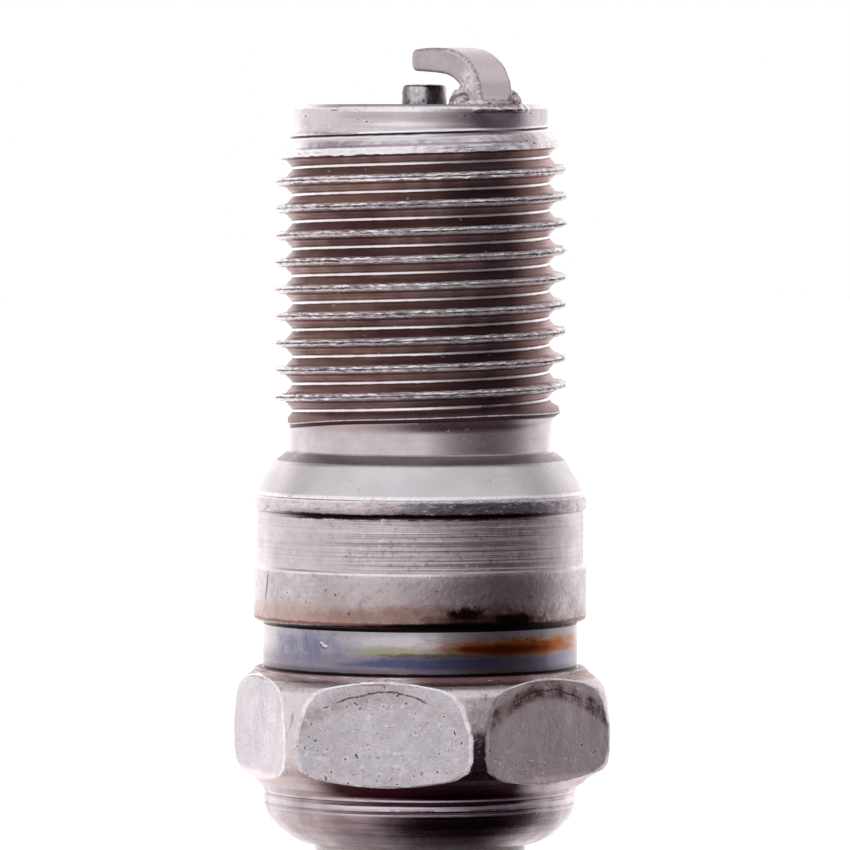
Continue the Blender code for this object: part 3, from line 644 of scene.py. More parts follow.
def groove_steel():
    """The crimping groove: steel that has been heated, with its tempering colours and a painted highlight.
    """
    made, colour, worn, bumps = steel("groove_steel", (0.52, 0.515, 0.55), (0.38, 0.375, 0.41), 0.24)
    blotch = made.noise(0.8, 5, 0.65, stretch=(1, 0.5), seed=5)
    smear = made.noise(0.45, 5, 0.7, stretch=(0.5, 1.3), seed=9)
    lilac = made.patch(-46, -7.55, 17, 1, ragged=0.8, soft=1.2, size=0.9) * blotch.ramp(0.35, 0.6, 0.35, 1)
    drift = made.noise(0.7, 5, 0.7, stretch=(0.6, 1.6), seed=27)
    straight = made.z
    made.z = made.z + (smear - 0.5) * 0.45  # the colours' edges wander
    made.bearing = made.bearing + (drift - 0.5) * 22
    colour = made.paint(colour, [
        (made.bearing.ramp(-38, -26) * 0.5, (0.34, 0.335, 0.38)),
        (made.patch(-76, -7.45, 14, 1.4, ragged=0.5, soft=1.2, strength=0.6), (0.56, 0.5, 0.51)),
        (lilac * 0.95, (0.19, 0.19, 0.3)),
        # A painted highlight across the groove at the front.
        (made.streak(-6, -7.05, 20, 0.3, ragged=0.5, soft=1.2, strength=0.45), (0.74, 0.73, 0.75)),
        (made.z.ramp(-7.5, -8, 0, 0.7), (0.24, 0.215, 0.28)),
        (made.bearing.ramp(-2, 14, 0, 0.45), (0.24, 0.23, 0.25)),
        (smear.ramp(0.46, 0.34, 0, 0.45), (0.22, 0.21, 0.25)),
        (made.streak(-10, -7.5, 16, 0.2, ragged=1, soft=1.2, strength=0.75), (0.33, 0.32, 0.19)),
        (made.streak(46, -7.36, 37, 0.44, ragged=0.6, soft=1), (0.38, 0.19, 0.075)),
        (made.streak(40, -7.4, 31, 0.33, ragged=0.8, soft=0.9), (0.33, 0.085, 0.018)),
        (made.patch(44, -7.38, 36, 0.4) * smear.ramp(0.52, 0.4, 0, 0.6), (0.2, 0.045, 0.012)),
        (made.streak(33, -7.46, 20, 0.19, ragged=1, soft=1), (0.13, 0.022, 0.004)),
        (made.streak(6, -7.7, 20, 0.09, ragged=1, soft=1.2, strength=0.8), (0.1, 0.085, 0.035)),
        (made.streak(8, -8.08, 32, 0.26, ragged=0.7, soft=0.9, strength=0.95), (0.085, 0.095, 0.2)),
        (made.streak(50, -8.08, 26, 0.22, ragged=0.6, soft=1, strength=0.6), (0.26, 0.25, 0.36)),
        (smear.ramp(0.58, 0.7, 0, 0.3), (0.62, 0.6, 0.62)),
        (made.patch(-36.2, -7.28, 1.1, 0.1, ragged=0.7, size=0.15, soft=0.6), (0.86, 0.84, 0.86)),
        (made.patch(-37.2, -7.33, 0.6, 0.08, ragged=0.9, size=0.12, soft=0.5), (0.1, 0.075, 0.07)),
        (made.patch(42, -7.02, 0.7, 0.05, ragged=0.7, size=0.12, soft=0.5), (0.12, 0.08, 0.07)),
        (made.patch(26, -8.1, 30, 0.45, ragged=0.6, soft=1, strength=0.45), (0.05, 0.045, 0.08)),
        (straight.ramp(-8.22, -8.45, 0, 0.75), (0.13, 0.1, 0.13)),
        ((straight + smear * 0.12).ramp(-8.44, -8.49), (0.02, 0.01, 0.014)),
    ])
    return made.finish(colour, worn, bumps)


def hexagon_steel():
    """The hexagon: pale worn faces with bright rims, dirt on the turned parts between them, painted shade
    between and under them at the front, and painted light under them elsewhere.
    """
    made, colour, worn, bumps = steel("hexagon_steel", (0.64, 0.625, 0.66), (0.57, 0.55, 0.59), 0.36,
                                      pits=0.03, streaks=0.001, pit_share=0.42, pit_size=0.3)
    crease = made.value("crease")  # how far the turned outline stands out past a face
    grit = made.noise(0.2, 5, 0.7)
    edge = crease + (grit - 0.5) * 0.1
    face = edge.ramp(-0.02, 0.02)
    turned_part = edge.ramp(0.01, -0.03)  # between the faces, above them and below them
    local = (made.bearing - HEX_FACE) % 60 - 30  # bearing from the middle of the nearest face
    shade = made.noise(0.9, 5, 0.65, seed=8)
    arc = made.z + 9.35 + local * local * 0.0019 + (shade - 0.5) * 0.5  # 0 on each face's arc
    ups = made.noise(1, 5, 0.7, stretch=(4.5, 0.25), seed=5)
    rings = made.noise(1, 5, 0.75, stretch=(0.6, 7), seed=6)
    worn_rim = made.noise(1.2, 4, 0.7, seed=18).ramp(0.38, 0.55, 0.35, 1)
    rim = edge.band(-0.018, 0.055, 0.028) * worn_rim
    right_face = made.bearing.band(20, 85, 3)
    fleck = made.noise(0.45, 5, 0.7, seed=21)
    stain = arc.band(-0.3, 0.05, 0.45) * local.ramp(16, -4, 0.35, 1) * face
    stain = stain * fleck.ramp(0.4, 0.62, 0.35, 0.9) * made.bearing.ramp(-50, -40, 0.25, 1)
    rust = arc.band(-0.25, 0.2, 0.3) * face * right_face * shade.ramp(0.62, 0.42, 0.35, 1)
    line = arc.band(-0.045, 0.02, 0.02) * made.z.ramp(-9.95, -9.7) * made.bearing.ramp(-46, -40) * face
    ragged_z = made.z + (fleck - 0.5) * 1.8
    low = ragged_z.ramp(-10.6, -11.6)
    # Painted shade between the faces, low down at the front right.
    front_gap = made.bearing.band(8, 40, 3)
    painted_shade_between_faces = turned_part * low * front_gap
    pocks = made.cells(0.55, 1)
    pock_share = made.noise(1.5, 3, seed=33).ramp(0.42, 0.55, 0.3, 1)
    dots = pocks.ramp(0.15, 0.08, 0, 0.85) * pock_share
    dot_lips = pocks.band(0.19, 0.24, 0.04) * pock_share
    chips = made.cells(0.5, 1.3).ramp(0.15, 0.08) * pock_share
    collar = made.z.ramp(-9.1, -9)
    # Under the hexagon: painted shadow at the front, painted shade on the turned part low down at the
    # front, and painted light on the underside elsewhere.
    in_front = made.bearing.ramp(-46, -28) * made.bearing.ramp(42, 33)
    painted_shadow_under = made.z.ramp(-13.45, -13.65) * in_front
    corner = turned_part * ragged_z.ramp(-12.5, -13.3) * in_front.ramp(0, 1, 0.15, 1)
    painted_light_under = (1 - in_front) * made.z.ramp(-13.2, -13.5)
    colour = made.paint(colour, [
        (face * shade.ramp(0.4, 0.6, 0.35, 0), (0.54, 0.525, 0.58)),
        (grit.ramp(0.54, 0.64) * 0.4, (0.88, 0.86, 0.9)),
        (grit.ramp(0.46, 0.36) * 0.45, (0.34, 0.32, 0.35)),
        (right_face * 0.4, (0.56, 0.45, 0.44)),
        (right_face * ups.ramp(0.6, 0.7) * 0.5, (0.28, 0.21, 0.2)),
        (dot_lips * 0.4, (0.93, 0.91, 0.94)),
        (chips * 0.85, (0.95, 0.93, 0.96)),
        (dots, (0.16, 0.13, 0.14)),
        (turned_part * 0.7, (0.84, 0.79, 0.79)),
        (turned_part * ups.ramp(0.46, 0.34, 0, 0.75), (0.36, 0.3, 0.29)),
        (painted_shade_between_faces * grit.ramp(0.66, 0.54, 0.45, 0.96), (0.035, 0.018, 0.035)),
        (corner * grit.ramp(0.6, 0.5, 0.35, 0.9), (0.09, 0.035, 0.04)),
        (stain * 0.6, (0.33, 0.255, 0.215)),
        (rust * fleck.ramp(0.38, 0.55, 0.35, 0.95), (0.1, 0.045, 0.042)),
        (line * grit.ramp(0.38, 0.5, 0.3, 1) * 0.85, (0.05, 0.035, 0.035)),
        (collar * rings.ramp(0.6, 0.48, 0.3, 0.8), (0.33, 0.225, 0.22)),
        # Painted shade on the collar ring at the front right.
        (collar * made.bearing.band(6, 34, 14), (0.17, 0.1, 0.1)),
        (collar * rings.ramp(0.42, 0.33, 0, 0.9), (0.05, 0.022, 0.022)),
        (rings.ramp(0.6, 0.68) * made.z.ramp(-9.2, -9), (0.88, 0.8, 0.78)),
        (made.z.ramp(-8.66, -8.63, 0, 0.95), (0.02, 0.01, 0.012)),
        (painted_shadow_under * turned_part, (0.055, 0.006, 0.014)),
        (painted_light_under * 0.8, (0.9, 0.8, 0.8)),
        (rim, BARE_STEEL_AND_HIGHLIGHT),
    ])
    return made.finish(colour, worn, bumps + [(ups, 0.004), (grit, 0.02), (chips - dots, 0.02)])


def crimp_steel():
    """The collar under the hexagon, which is rolled in over the insulator."""
    made, colour, worn, bumps = steel("crimp_steel", STEEL_LIGHT, (0.46, 0.4, 0.42), 0.28, streaks=0.008)
    rolled = made.noise(1, 5, 0.7, stretch=(0.12, 5), seed=12)
    shadow = made.bearing.ramp(-48, -24) * made.bearing.ramp(42, 33)
    # Painted shade in the small grooves, mostly at the front.
    grooved = made.bearing.ramp(-46, -10, 0.25, 1) * made.bearing.ramp(46, 36)
    # Painted shade over the front, which also darkens the rolled marks there.
    painted_shade_front = made.bearing.ramp(-55, -20) * made.bearing.ramp(46, 34)
    # The ridges between the grooves are rubbed bright, with painted highlights on them, weaker at the
    # left.
    rubbed_and_highlit = made.bearing.ramp(-50, -16, 0.1, 0.7) * rolled.ramp(0.36, 0.5, 0.5, 1)
    colour = made.paint(colour, [
        (painted_shade_front * 0.5, (0.25, 0.19, 0.22)),
        (rolled.ramp(0.5, 0.36, 0, 0.75) * painted_shade_front, (0.12, 0.075, 0.095)),
        (rolled.ramp(0.57, 0.68, 0, 0.6), (0.85, 0.82, 0.86)),
        # Painted shade across the front.
        (made.patch(14, -15.4, 27, 1.9, ragged=0.4, soft=1, strength=0.95), (0.045, 0.022, 0.036)),
        (made.z.band(-14.56, -14.44, 0.03) * grooved, (0.045, 0.018, 0.035)),
        (made.z.band(-14.42, -14.34, 0.03) * rubbed_and_highlit, (0.85, 0.74, 0.78)),
        (made.z.band(-14.82, -14.64, 0.05) * rubbed_and_highlit, (0.88, 0.82, 0.87)),
        (made.z.band(-14.98, -14.88, 0.04) * grooved, (0.11, 0.07, 0.095)),
        (made.z.band(-15.08, -15.01, 0.03) * rubbed_and_highlit, (0.82, 0.8, 0.88)),
        (made.z.ramp(-14.3, -14.18) * shadow, (0.055, 0.006, 0.014)),
    ])
    return made.finish(colour, worn, bumps + [(rolled, 0.03)])


# ---- the shell's threaded barrel
# Profiles are rows of (r, z). The thread is cut between its core and its envelope.
RIM_Z = 17.5
CORE = [(5.89, 17.3), (5.89, 16.42), (5.98, 16.25), (5.98, 2.85), (6.075, 2.7), (6.075, 1.4)]
ENVELOPE = [
    (5.8, 16.45), (5.96, 16.2), (6.3, 16.05), (6.36, 15.95), (6.42, 15.75), (6.62, 15.1),
    (6.78, 13.9), (6.9, 13.0), (6.9, 3.95), (6.6, 3.3), (6.25, 2.88), (5.85, 2.1),
]
# The rolled crest as (height from its middle, radius): a seam between two lips, then the flank.
CREST = [
    (0.0, 6.7), (0.035, 6.72), (0.065, 6.8), (0.11, 6.77), (0.16, 6.62), (0.2, 6.29),
    (0.3, 6.2), (0.4, 6.12), (0.5, 6.02), (0.575, ROOT_R),
]
BARREL_INSIDE = [
    (5.69, RIM_Z), (4.25, RIM_Z), (4.15, 17.4), (4.15, 12.0), (4.15, 6.9), (3.9, 6.6), (3.9, 4.9),
    (4.75, 4.2), (4.75, JOIN_Z),
]
BARREL_COLUMNS = 360
BARREL_END_ROWS = (10, 22)  # below and above the thread
THREAD_ROWS = (2.0, 15.9)  # heights between which the rows follow the thread
TOP_ROW_Z = 17.3
FACET = (38.0, 5.72, 0.21)  # trimmed weld flash: bearing, depth at the rim, growth per mm down
SPILL = (41.0, 17.0)  # where flash runs over the rim: bearing and half-width in degrees


def by_height(profile, z):
    """Radius at each height of a profile of (r, z) that runs downwards."""
    r, h = zip(*reversed(profile))
    return np.interp(z, h, r)


def barrel_radius(angle, z):
    """The outer radius at an angle from +X and a height, before wear."""
    u = np.mod(z - CREST_PHASE - PITCH * angle / 360.0 + PITCH / 2, PITCH) - PITCH / 2
    offsets, radii = zip(*CREST)
    ridge = np.interp(np.abs(u), offsets, radii)
    ridge = np.minimum(ridge, by_height(ENVELOPE, z))
    return np.maximum(by_height(CORE, z), ridge)


def barrel_rows(angle):
    """Heights of the barrel's outer rows: rows that follow the thread, with even rows at each end."""
    inner = [u for u, _ in CREST[1:]]
    turn = sorted([-u for u in inner] + [0.0] + inner)
    lift = PITCH * np.arange(len(angle)) / len(angle)
    lowest = CREST_PHASE + PITCH * angle[0] / 360.0
    first = lowest + PITCH * math.ceil((THREAD_ROWS[0] - lowest + 0.5) / PITCH)
    turns = math.floor((THREAD_ROWS[1] - first) / PITCH)
    along = np.array([k * PITCH + u for k in range(turns + 1) for u in turn])
    helix = first + along[:, None] + lift[None, :]
    below, above = [np.arange(n)[:, None] / n for n in BARREL_END_ROWS]
    bottom = JOIN_Z + (helix[0] - JOIN_Z)[None, :] * below
    top = TOP_ROW_Z + (helix[-1] - TOP_ROW_Z)[None, :] * above[::-1]
    return np.vstack([bottom, helix, top])


def zipped(left, right, z_left, z_right):
    """Triangles between two upright lines of points that don't share their heights."""
    faces = []
    i = j = 0
    while i < len(left) - 1 or j < len(right) - 1:
        up_left = z_left[i + 1] if i < len(left) - 1 else np.inf
        up_right = z_right[j + 1] if j < len(right) - 1 else np.inf
        if up_left <= up_right:
            faces.append((left[i], right[j], left[i + 1]))
            i += 1
        else:
            faces.append((left[i], right[j], right[j + 1]))
            j += 1
    return faces


def make_barrel():
    """The shell's nose and neck, as one skin whose rows climb with the thread."""
    columns = BARREL_COLUMNS
    angle = angles_from(columns)[None, :]
    z = barrel_rows(angle[0])
    radius = barrel_radius(angle, z)
    points = on_circles(radius, angle, z)
    climb = z - PITCH * (np.mod(angle - 180.0, 360.0) - 180.0) / 360.0  # height along the thread

    # The crests' lips are rolled over, nicked and flattened.
    on_lip = smooth_step(radius, 6.35, 6.7) * smooth_step(z, 2.6, 3.4)
    broken = rough(points, 0.35, 1) + 0.6 * rough(points, 1.3, 2)
    chewed = rough(points * (1, 1, 2.5), 0.22, 3)
    radius = radius + on_lip * (0.05 * broken + 0.05 * chewed - 0.02)
    z = z + on_lip * (0.045 * rough(points, 0.5, 4) + 0.05 * chewed)
    first = smooth_step(z, 15.0, 15.3) * (radius > 6.02)
    radius = radius + first * 0.035 * (rough(points, 0.3, 6) + rough(points, 0.9, 7))
    radius = radius + 0.006 * rough(points, 1.1, 5)

    # Trimmed weld flash leaves a facet at the rim, and some of it has run over the edge.
    bearing, depth, slope = FACET
    away = np.radians(angle + 90.0 - bearing)
    facet = (depth + slope * (RIM_Z - z)) / np.maximum(np.cos(away), 0.3)
    near = (np.cos(away) > 0.8) & (z > 16.3)
    radius = np.where(near, smooth_min(radius, facet, 0.04), radius)
    off = (np.mod(angle + 90.0 - SPILL[0] + 180.0, 360.0) - 180.0) / SPILL[1]
    spill = np.clip(1.0 - off ** 2, 0.0, 1.0) ** 0.5 * smooth_step(z, 17.12, 17.24)
    radius = radius + spill * (0.15 + 0.1 * rough(points, 0.25, 8))

    outer = on_circles(radius, angle, z)
    rows = len(z)
    inside = np.array(refine(BARREL_INSIDE, 1.6))
    rim = np.repeat(inside[:, :1], columns, axis=1)
    rim[0] = np.maximum(rim[0], radius[-1] - 0.19)
    inner = on_circles(rim, angle, inside[:, 1:])
    points = np.vstack([outer, inner])
    total = len(points)

    def quads(i, k, span):
        a = i * columns
        b = k * columns
        return [(a + j, b + j, b + (j + 1) % columns, a + (j + 1) % columns) for j in range(span)]

    faces = []
    for i in range(rows - 1):
        faces += quads(i, i + 1, columns - 1)
    left = [i * columns + columns - 1 for i in range(rows)]
    right = [i * columns for i in range(rows)]
    faces += zipped(left, right, z[:, -1], z[:, 0])
    for i in range(rows - 1, total - 1):
        faces += quads(i, i + 1, columns)
    faces += quads(total - 1, 0, columns)
    climb = np.vstack([climb, np.repeat(inside[:, 1:], columns, axis=1)])
    return make_piece("threaded_barrel", points, faces, "plug", [barrel_steel()],
                      ("metal_shell",), sharp=50.0, values={"climb": climb})


# ---- the rest of the shell
BODY_OUTSIDE = [
    (6.075, JOIN_Z), (6.175, 1.4), (6.395, 1.25), (6.84, 0.914), (7.74, -0.555), (7.76, -1.26),
    (7.61, -1.36), (7.61, -3.83), (7.74, -3.93), (7.75, -6.26), (7.7, -6.38), (7.6, -6.44),
    (7.31, -6.5), (7.34, -7.6), (7.3, -8.6), (7.68, -8.67), (7.87, -8.9), (8.3, -9.2), (8.52, -9.48),
    (8.7, -10.05), (8.87, -11.3), (8.87, -12.4), (8.77, -12.98), (8.5, -13.34), (7.85, -13.7),
    (7.42, -14.1), (7.29, -14.3), (7.29, -14.4), (7.22, -14.46), (7.22, -14.53), (7.28, -14.62),
    (7.28, -14.82), (7.23, -14.9), (7.26, -14.99), (7.25, -15.08), (7.19, -15.16), (7.15, -15.32),
    (6.97, -15.68), (6.62, -16.08), (6.15, -16.46), (5.7, -16.72), (5.25, -16.85), (5.1, -16.77),
]
BODY_INSIDE = [
    (5.1, -15.95), (5.6, -15.77), (6.0, -15.45), (6.1, -15.15), (6.1, -5.0), (4.75, -3.9),
    (4.75, JOIN_Z),
]
HEX_SPAN = (-8.65, -14.1)  # heights between which the section is cut to a hexagon
ZONE_TOPS = (-6.6, -8.61, -14.0)  # of the groove, the hexagon and the crimped collar
HALF_SECTOR = 32  # columns in half of each hexagon face's sector
UNWORN_CORNER = HEX_FACE + 30.0  # the corner that stands a little further out than the others


def body_angles(radii, heights):
    """Each row's column angles: even where the body is round, and along the creases at the hexagon."""
    s = np.linspace(0.0, 1.0, HALF_SECTOR + 1)[:-1]
    rows = []
    for r, z in zip(radii, heights):
        crease = math.degrees(math.acos(min(1.0, HEX_APOTHEM / max(r, HEX_APOTHEM))))
        crease = min(max(crease, 12.0), 28.0)
        near = float(smooth_step(z, -14.6, -14.0) * smooth_step(-z, 8.2, 8.75))
        crease = crease * near + 21.0 * (1 - near)
        side = np.interp(s, [0.0, 0.55, 0.7, 0.86, 1.0], [0.0, crease - 2.2, crease, crease + 1.4, 30.0])
        sector = np.concatenate([side, [30.0], 60.0 - side[:0:-1]])
        rows.append(np.concatenate([HEX_FACE + 60.0 * k + sector for k in range(6)]))
    return np.array(rows)


def make_body():
    """The shell from the flare down to the crimped collar."""
    outside = refine(BODY_OUTSIDE, 0.125)
    profile = np.array(outside + refine(BODY_INSIDE, 1.5))
    rows = len(profile)
    angle = body_angles(profile[:, 0], profile[:, 1])
    columns = angle.shape[1]
    radius = np.repeat(profile[:, :1], columns, axis=1)
    z = np.repeat(profile[:, 1:], columns, axis=1)
    skin = np.arange(rows) < len(outside)
    in_hex = skin & (profile[:, 1] < HEX_SPAN[0]) & (profile[:, 1] > HEX_SPAN[1])
    unworn = np.exp(-((angle - UNWORN_CORNER) / 9.0) ** 2)
    radius[in_hex] += 0.16 * unworn[in_hex]
    local = np.mod(angle - HEX_FACE + 30.0, 60.0) - 30.0
    flat = HEX_APOTHEM / np.cos(np.radians(local))
    crease = np.where(in_hex[:, None], radius - flat, -1.0)
    radius[in_hex] = smooth_min(radius[in_hex], flat[in_hex], 0.05)

    points = on_circles(radius, angle, z)
    # The skin is uneven, the hexagon's edges are nicked and the seat's rim is chewed.
    depth = 0.008 * rough(points, 1.4, 11) + 0.004 * rough(points, 0.4, 12)
    hexed = smooth_step(-z, 8.8, 9.2) * smooth_step(z, -14.0, -13.6)
    depth += hexed * (0.02 * rough(points, 1.8, 13) + 0.01 * rough(points, 0.5, 14))
    on_edge = np.exp(-((crease - 0.01) / 0.05) ** 2) * hexed
    depth -= on_edge * 0.035 * np.clip(rough(points, 0.45, 16) + 0.3, 0.0, 1.0)
    seat = smooth_step(-z, 0.3, 0.6) * smooth_step(z, -1.5, -1.25)
    depth += seat * (0.02 * rough(points, 0.35, 15) + 0.02 * rough(points, 0.9, 17))
    depth[0] = 0.0
    radius[skin] += depth[skin]
    points = on_circles(radius, angle, z)
    faces = grid_faces(rows, columns, close_rows=True)
    middle = np.repeat((profile[:, 1] + np.roll(profile[:, 1], -1)) / 2, columns)
    zones = sum((middle <= top).astype(int) for top in ZONE_TOPS)
    return make_piece("shell_body", points, faces, "plug",
                      [collar_steel(), groove_steel(), hexagon_steel(), crimp_steel()],
                      ("metal_shell",), zones=zones, sharp=32.0, values={"crease": crease})


# ---- the side electrode and its weld
# The strap's centre line as (distance out from the axis, z, half its thickness there).
STRAP_LINE = [
    (0.86, 19.55, 0.51), (1.6, 19.555, 0.555), (2.25, 19.535, 0.575), (3.05, 19.45, 0.6),
    (3.66, 19.23, 0.61), (4.2, 18.86, 0.62), (4.49, 18.42, 0.61), (4.6, 18.02, 0.61),
    (4.65, 17.72, 0.64), (4.68, 17.45, 0.72),
]
STRAP_HALF_WIDTH = 1.025
STRAP_EDGE = 0.11
STRAP_CORNER = 0.18  # of the section's grid, as a share of its half-side
TIP_DEPTH = 0.46  # how far the rounded end stands out past the line's first point
TIP_STEPS = 10
HAMMERED_AT = (4.42, 18.55)  # distance out and height of a beaten spot on the side near the camera


def through(points, count):
    """A smooth curve through rows of numbers, as count rows evenly spread over its spans."""
    p = np.array(points, float)
    p = np.vstack([2 * p[0] - p[1], p, 2 * p[-1] - p[-2]])
    t = np.linspace(0.0, len(points) - 1.0, count)
    i = np.minimum(t.astype(int), len(points) - 2)
    f = (t - i)[:, None]
    a, b, c, d = p[i], p[i + 1], p[i + 2], p[i + 3]
    bent = (2 * a - 5 * b + 4 * c - d) * f ** 2
    return 0.5 * (2 * b + (c - a) * f + bent + (3 * b - a - 3 * c + d) * f ** 3)


def rounded_square(radius, per_corner, per_side):
    """Points (a, b) round a square of half-side 1 with rounded corners."""
    inner = 1.0 - radius
    arcs = []
    for quarter, (a, b) in enumerate([(inner, inner), (-inner, inner), (-inner, -inner), (inner, -inner)]):
        turns = [math.pi / 2 * (quarter + k / per_corner) for k in range(per_corner + 1)]
        arcs.append([(a + radius * math.cos(t), b + radius * math.sin(t)) for t in turns])
    points = []
    for arc, following in zip(arcs, arcs[1:] + arcs[:1]):
        points += arc
        points += refine([arc[-1], following[0]], (2 * inner) / per_side + 1e-9)[1:-1]
    return np.array(points)


def nickel(name, light, dark, roughness):
    """The electrodes' nickel alloy, dulled by heat."""
    made = Shader(name)
    cloud = made.noise(0.9, 4, 0.6)
    fine = made.noise(0.1, 4, 0.6)
    colour = made.paint(made.mix(cloud.ramp(0.35, 0.65), dark, light), [
        (fine.ramp(0.58, 0.7, 0, 0.3), tuple(min(1, 1.3 * c) for c in light)),
        (fine.ramp(0.42, 0.3, 0, 0.35), tuple(0.55 * c for c in dark)),
    ])
    worn = fine.ramp(0.3, 0.7, -0.08, 0.08) + roughness
    return made, colour, worn, [(fine, 0.004), (cloud, 0.01)]


def strap_nickel():
    """The side electrode: beaten bare at one spot, with dark edges and a pale outer face."""
    made, colour, worn, bumps = nickel("strap_nickel", (0.6, 0.545, 0.56), (0.5, 0.45, 0.465), 0.42)
    hammered = made.value("hammered")
    blotch = made.noise(0.16, 3, seed=2)
    bare = hammered * blotch.ramp(0.42, 0.58)
    pocked = hammered * blotch.ramp(0.44, 0.34)
    dots = made.cells(0.55, 0.6).ramp(0.11, 0.05)
    grain = made.noise(0.1, 5, 0.7, seed=30)
    serrated = made.noise(0.09, 3, seed=31).ramp(0.42, 0.55, 0.25, 1)
    colour = made.paint(colour, [
        (made.value("outside"), (0.98, 0.915, 0.94)),
        (grain.ramp(0.46, 0.34, 0, 0.35), (0.42, 0.34, 0.36)),
        (grain.ramp(0.56, 0.68, 0, 0.35), (0.98, 0.95, 0.97)),
        (bare * 0.8, (0.95, 0.95, 0.98)),
        (pocked * 0.6, (0.2, 0.18, 0.2)),
        (dots * 0.6, SOOT),
        (made.value("edge").ramp(0.5, 1, 0, 0.75) * serrated, (0.22, 0.18, 0.2)),
    ])
    return made.finish(colour, made.blend(bare, worn, 0.22), bumps + [(blotch, 0.004)], metallic=0.35)


def make_strap():
    """The bent side electrode, as a rounded section carried along its centre line."""
    out = np.array((math.cos(STRAP_BEARING), math.sin(STRAP_BEARING), 0.0))
    along = np.array((-out[1], out[0], 0.0))  # across the strap, away from the camera
    up = np.array((0.0, 0.0, 1.0))
    line = through(STRAP_LINE, 120)
    way = np.gradient(line[:, :2], axis=0)
    way /= np.linalg.norm(way, axis=1)[:, None]
    normal = np.stack([-way[:, 1], way[:, 0]], axis=1)  # towards the strap's outer face
    sides = rounded_square(STRAP_CORNER, 5, 12)
    stations = []
    for k in range(TIP_STEPS):  # the rounded end, from its face to where it is full size
        f = (k + 0.35) / TIP_STEPS
        reach = TIP_DEPTH * (1 - f)
        size = math.sqrt(1 - (1 - f) ** 2.4)
        stations.append((line[0, :2] - way[0] * reach, normal[0], line[0, 2] * size, 0.86 + 0.14 * size))
    for row, side in zip(line[1:], normal[1:]):
        stations.append((row[:2], side, row[2], 1.0))
    rings = []
    edge = []
    outside = []
    corner = STRAP_EDGE / STRAP_CORNER
    flat = 1.0 - STRAP_CORNER
    for centre, side, half, wide in stations:
        a = np.sign(sides[:, 0]) * (half - np.minimum(half, (1 - np.abs(sides[:, 0])) * corner))
        b = np.sign(sides[:, 1]) * (STRAP_HALF_WIDTH * wide - (1 - np.abs(sides[:, 1])) * corner)
        inner_a = np.abs(sides[:, 0]) < flat
        inner_b = np.abs(sides[:, 1]) < flat
        a = np.where(inner_a, sides[:, 0] / flat * max(0.0, half - STRAP_EDGE), a)
        b = np.where(inner_b, sides[:, 1] / flat * (STRAP_HALF_WIDTH * wide - STRAP_EDGE), b)
        distance = centre[0] + side[0] * a
        height = centre[1] + side[1] * a
        rings.append(np.outer(distance, out) + np.outer(b, along) + np.outer(height, up))
        edge.append(~(inner_a | inner_b))
        outside.append((a > 0.9 * half - STRAP_EDGE) * smooth_step(centre[0], 2.4, 3.2))
    points = np.vstack(rings)
    columns = len(sides)
    rows = len(stations)
    spot = out * HAMMERED_AT[0] - along * STRAP_HALF_WIDTH + up * HAMMERED_AT[1]
    off_spot = (points - spot) / (0.55, 0.55, 0.75)
    hammered = np.clip(1.35 - np.linalg.norm(off_spot, axis=1), 0.0, 1.0)
    push = 0.008 * rough(points, 0.7, 21) + 0.004 * rough(points, 0.2, 22)
    push += hammered * 0.022 * rough(points, 0.16, 23)
    points += np.outer(push, out - along)
    faces = grid_faces(rows, columns)
    faces.append(tuple(range(columns)))
    faces.append(tuple((rows - 1) * columns + j for j in range(columns)))
    return make_piece("side_electrode", points, faces, "plug",
                      [strap_nickel()], ("ground_electrode",), sharp=60.0,
                      values={"hammered": hammered, "edge": edge, "outside": outside})


FOOT_AT = 4.66  # how far out from the axis the strap's foot stands
FOOT_HALF = (0.8, 1.17)  # half-sizes of the ring round it, outward and across
WELD_Z = 17.52
LUMPS = [(224.0, 30.0, 0.6), (52.0, 26.0, 0.38)]  # angle round the foot and spread in degrees, and size


def weld_nickel():
    """The weld's flash: bright, with burnt blotches."""
    made, colour, worn, bumps = nickel("weld_nickel", (0.88, 0.82, 0.83), (0.55, 0.48, 0.49), 0.28)
    burnt = made.noise(0.3, 4, seed=5).ramp(0.52, 0.6)
    colour = made.paint(colour, [(burnt * 0.75, (0.12, 0.085, 0.09))])
    return made.finish(colour, worn, bumps, metallic=0.6)


def make_weld():
    """The ring of metal squeezed out round the strap's foot, lumpy at two of its corners."""
    out = np.array((math.cos(STRAP_BEARING), math.sin(STRAP_BEARING)))
    across = np.array((-out[1], out[0]))
    rows = 160
    columns = 28
    power = 2.0 / 3.4  # of the squarish oval that the ring follows
    points = []
    for i in range(rows):
        a = math.tau * i / rows
        c = math.cos(a)
        s = math.sin(a)
        d = FOOT_AT + FOOT_HALF[0] * math.copysign(abs(c) ** power, c)
        w = FOOT_HALF[1] * math.copysign(abs(s) ** power, s)
        lump = sum(size * math.exp(-((math.degrees(a) - at) / spread) ** 2) for at, spread, size in LUMPS)
        lump += 0.08 * noise.noise(Vector((c, s, 0.0)) * 3.0)
        wide = 0.26 + 0.5 * lump
        tall = 0.2 + 1.0 * lump
        outward = np.array((c / 0.95, s / FOOT_HALF[1]))
        outward /= np.linalg.norm(outward)
        for j in range(columns):
            b = math.tau * j / columns
            reach = wide * math.cos(b)
            flat = out * (d + outward[0] * reach) + across * (w + outward[1] * reach)
            points.append((flat[0], flat[1], WELD_Z + tall * math.sin(b)))
    points = np.array(points)
    centre = points.reshape(rows, columns, 3).mean(axis=1, keepdims=True)
    away = (points.reshape(rows, columns, 3) - centre).reshape(-1, 3)
    swell = 1.0 + 0.38 * rough(points, 0.45, 31) + 0.14 * rough(points, 0.16, 32)
    points = points + away * (swell - 1.0)[:, None]
    points[:, 2] = np.maximum(points[:, 2], WELD_Z - 0.1)
    faces = grid_faces(rows, columns, close_rows=True)
    return make_piece("weld_flash", points, faces, "plug", [weld_nickel()],
                      sharp=70.0)


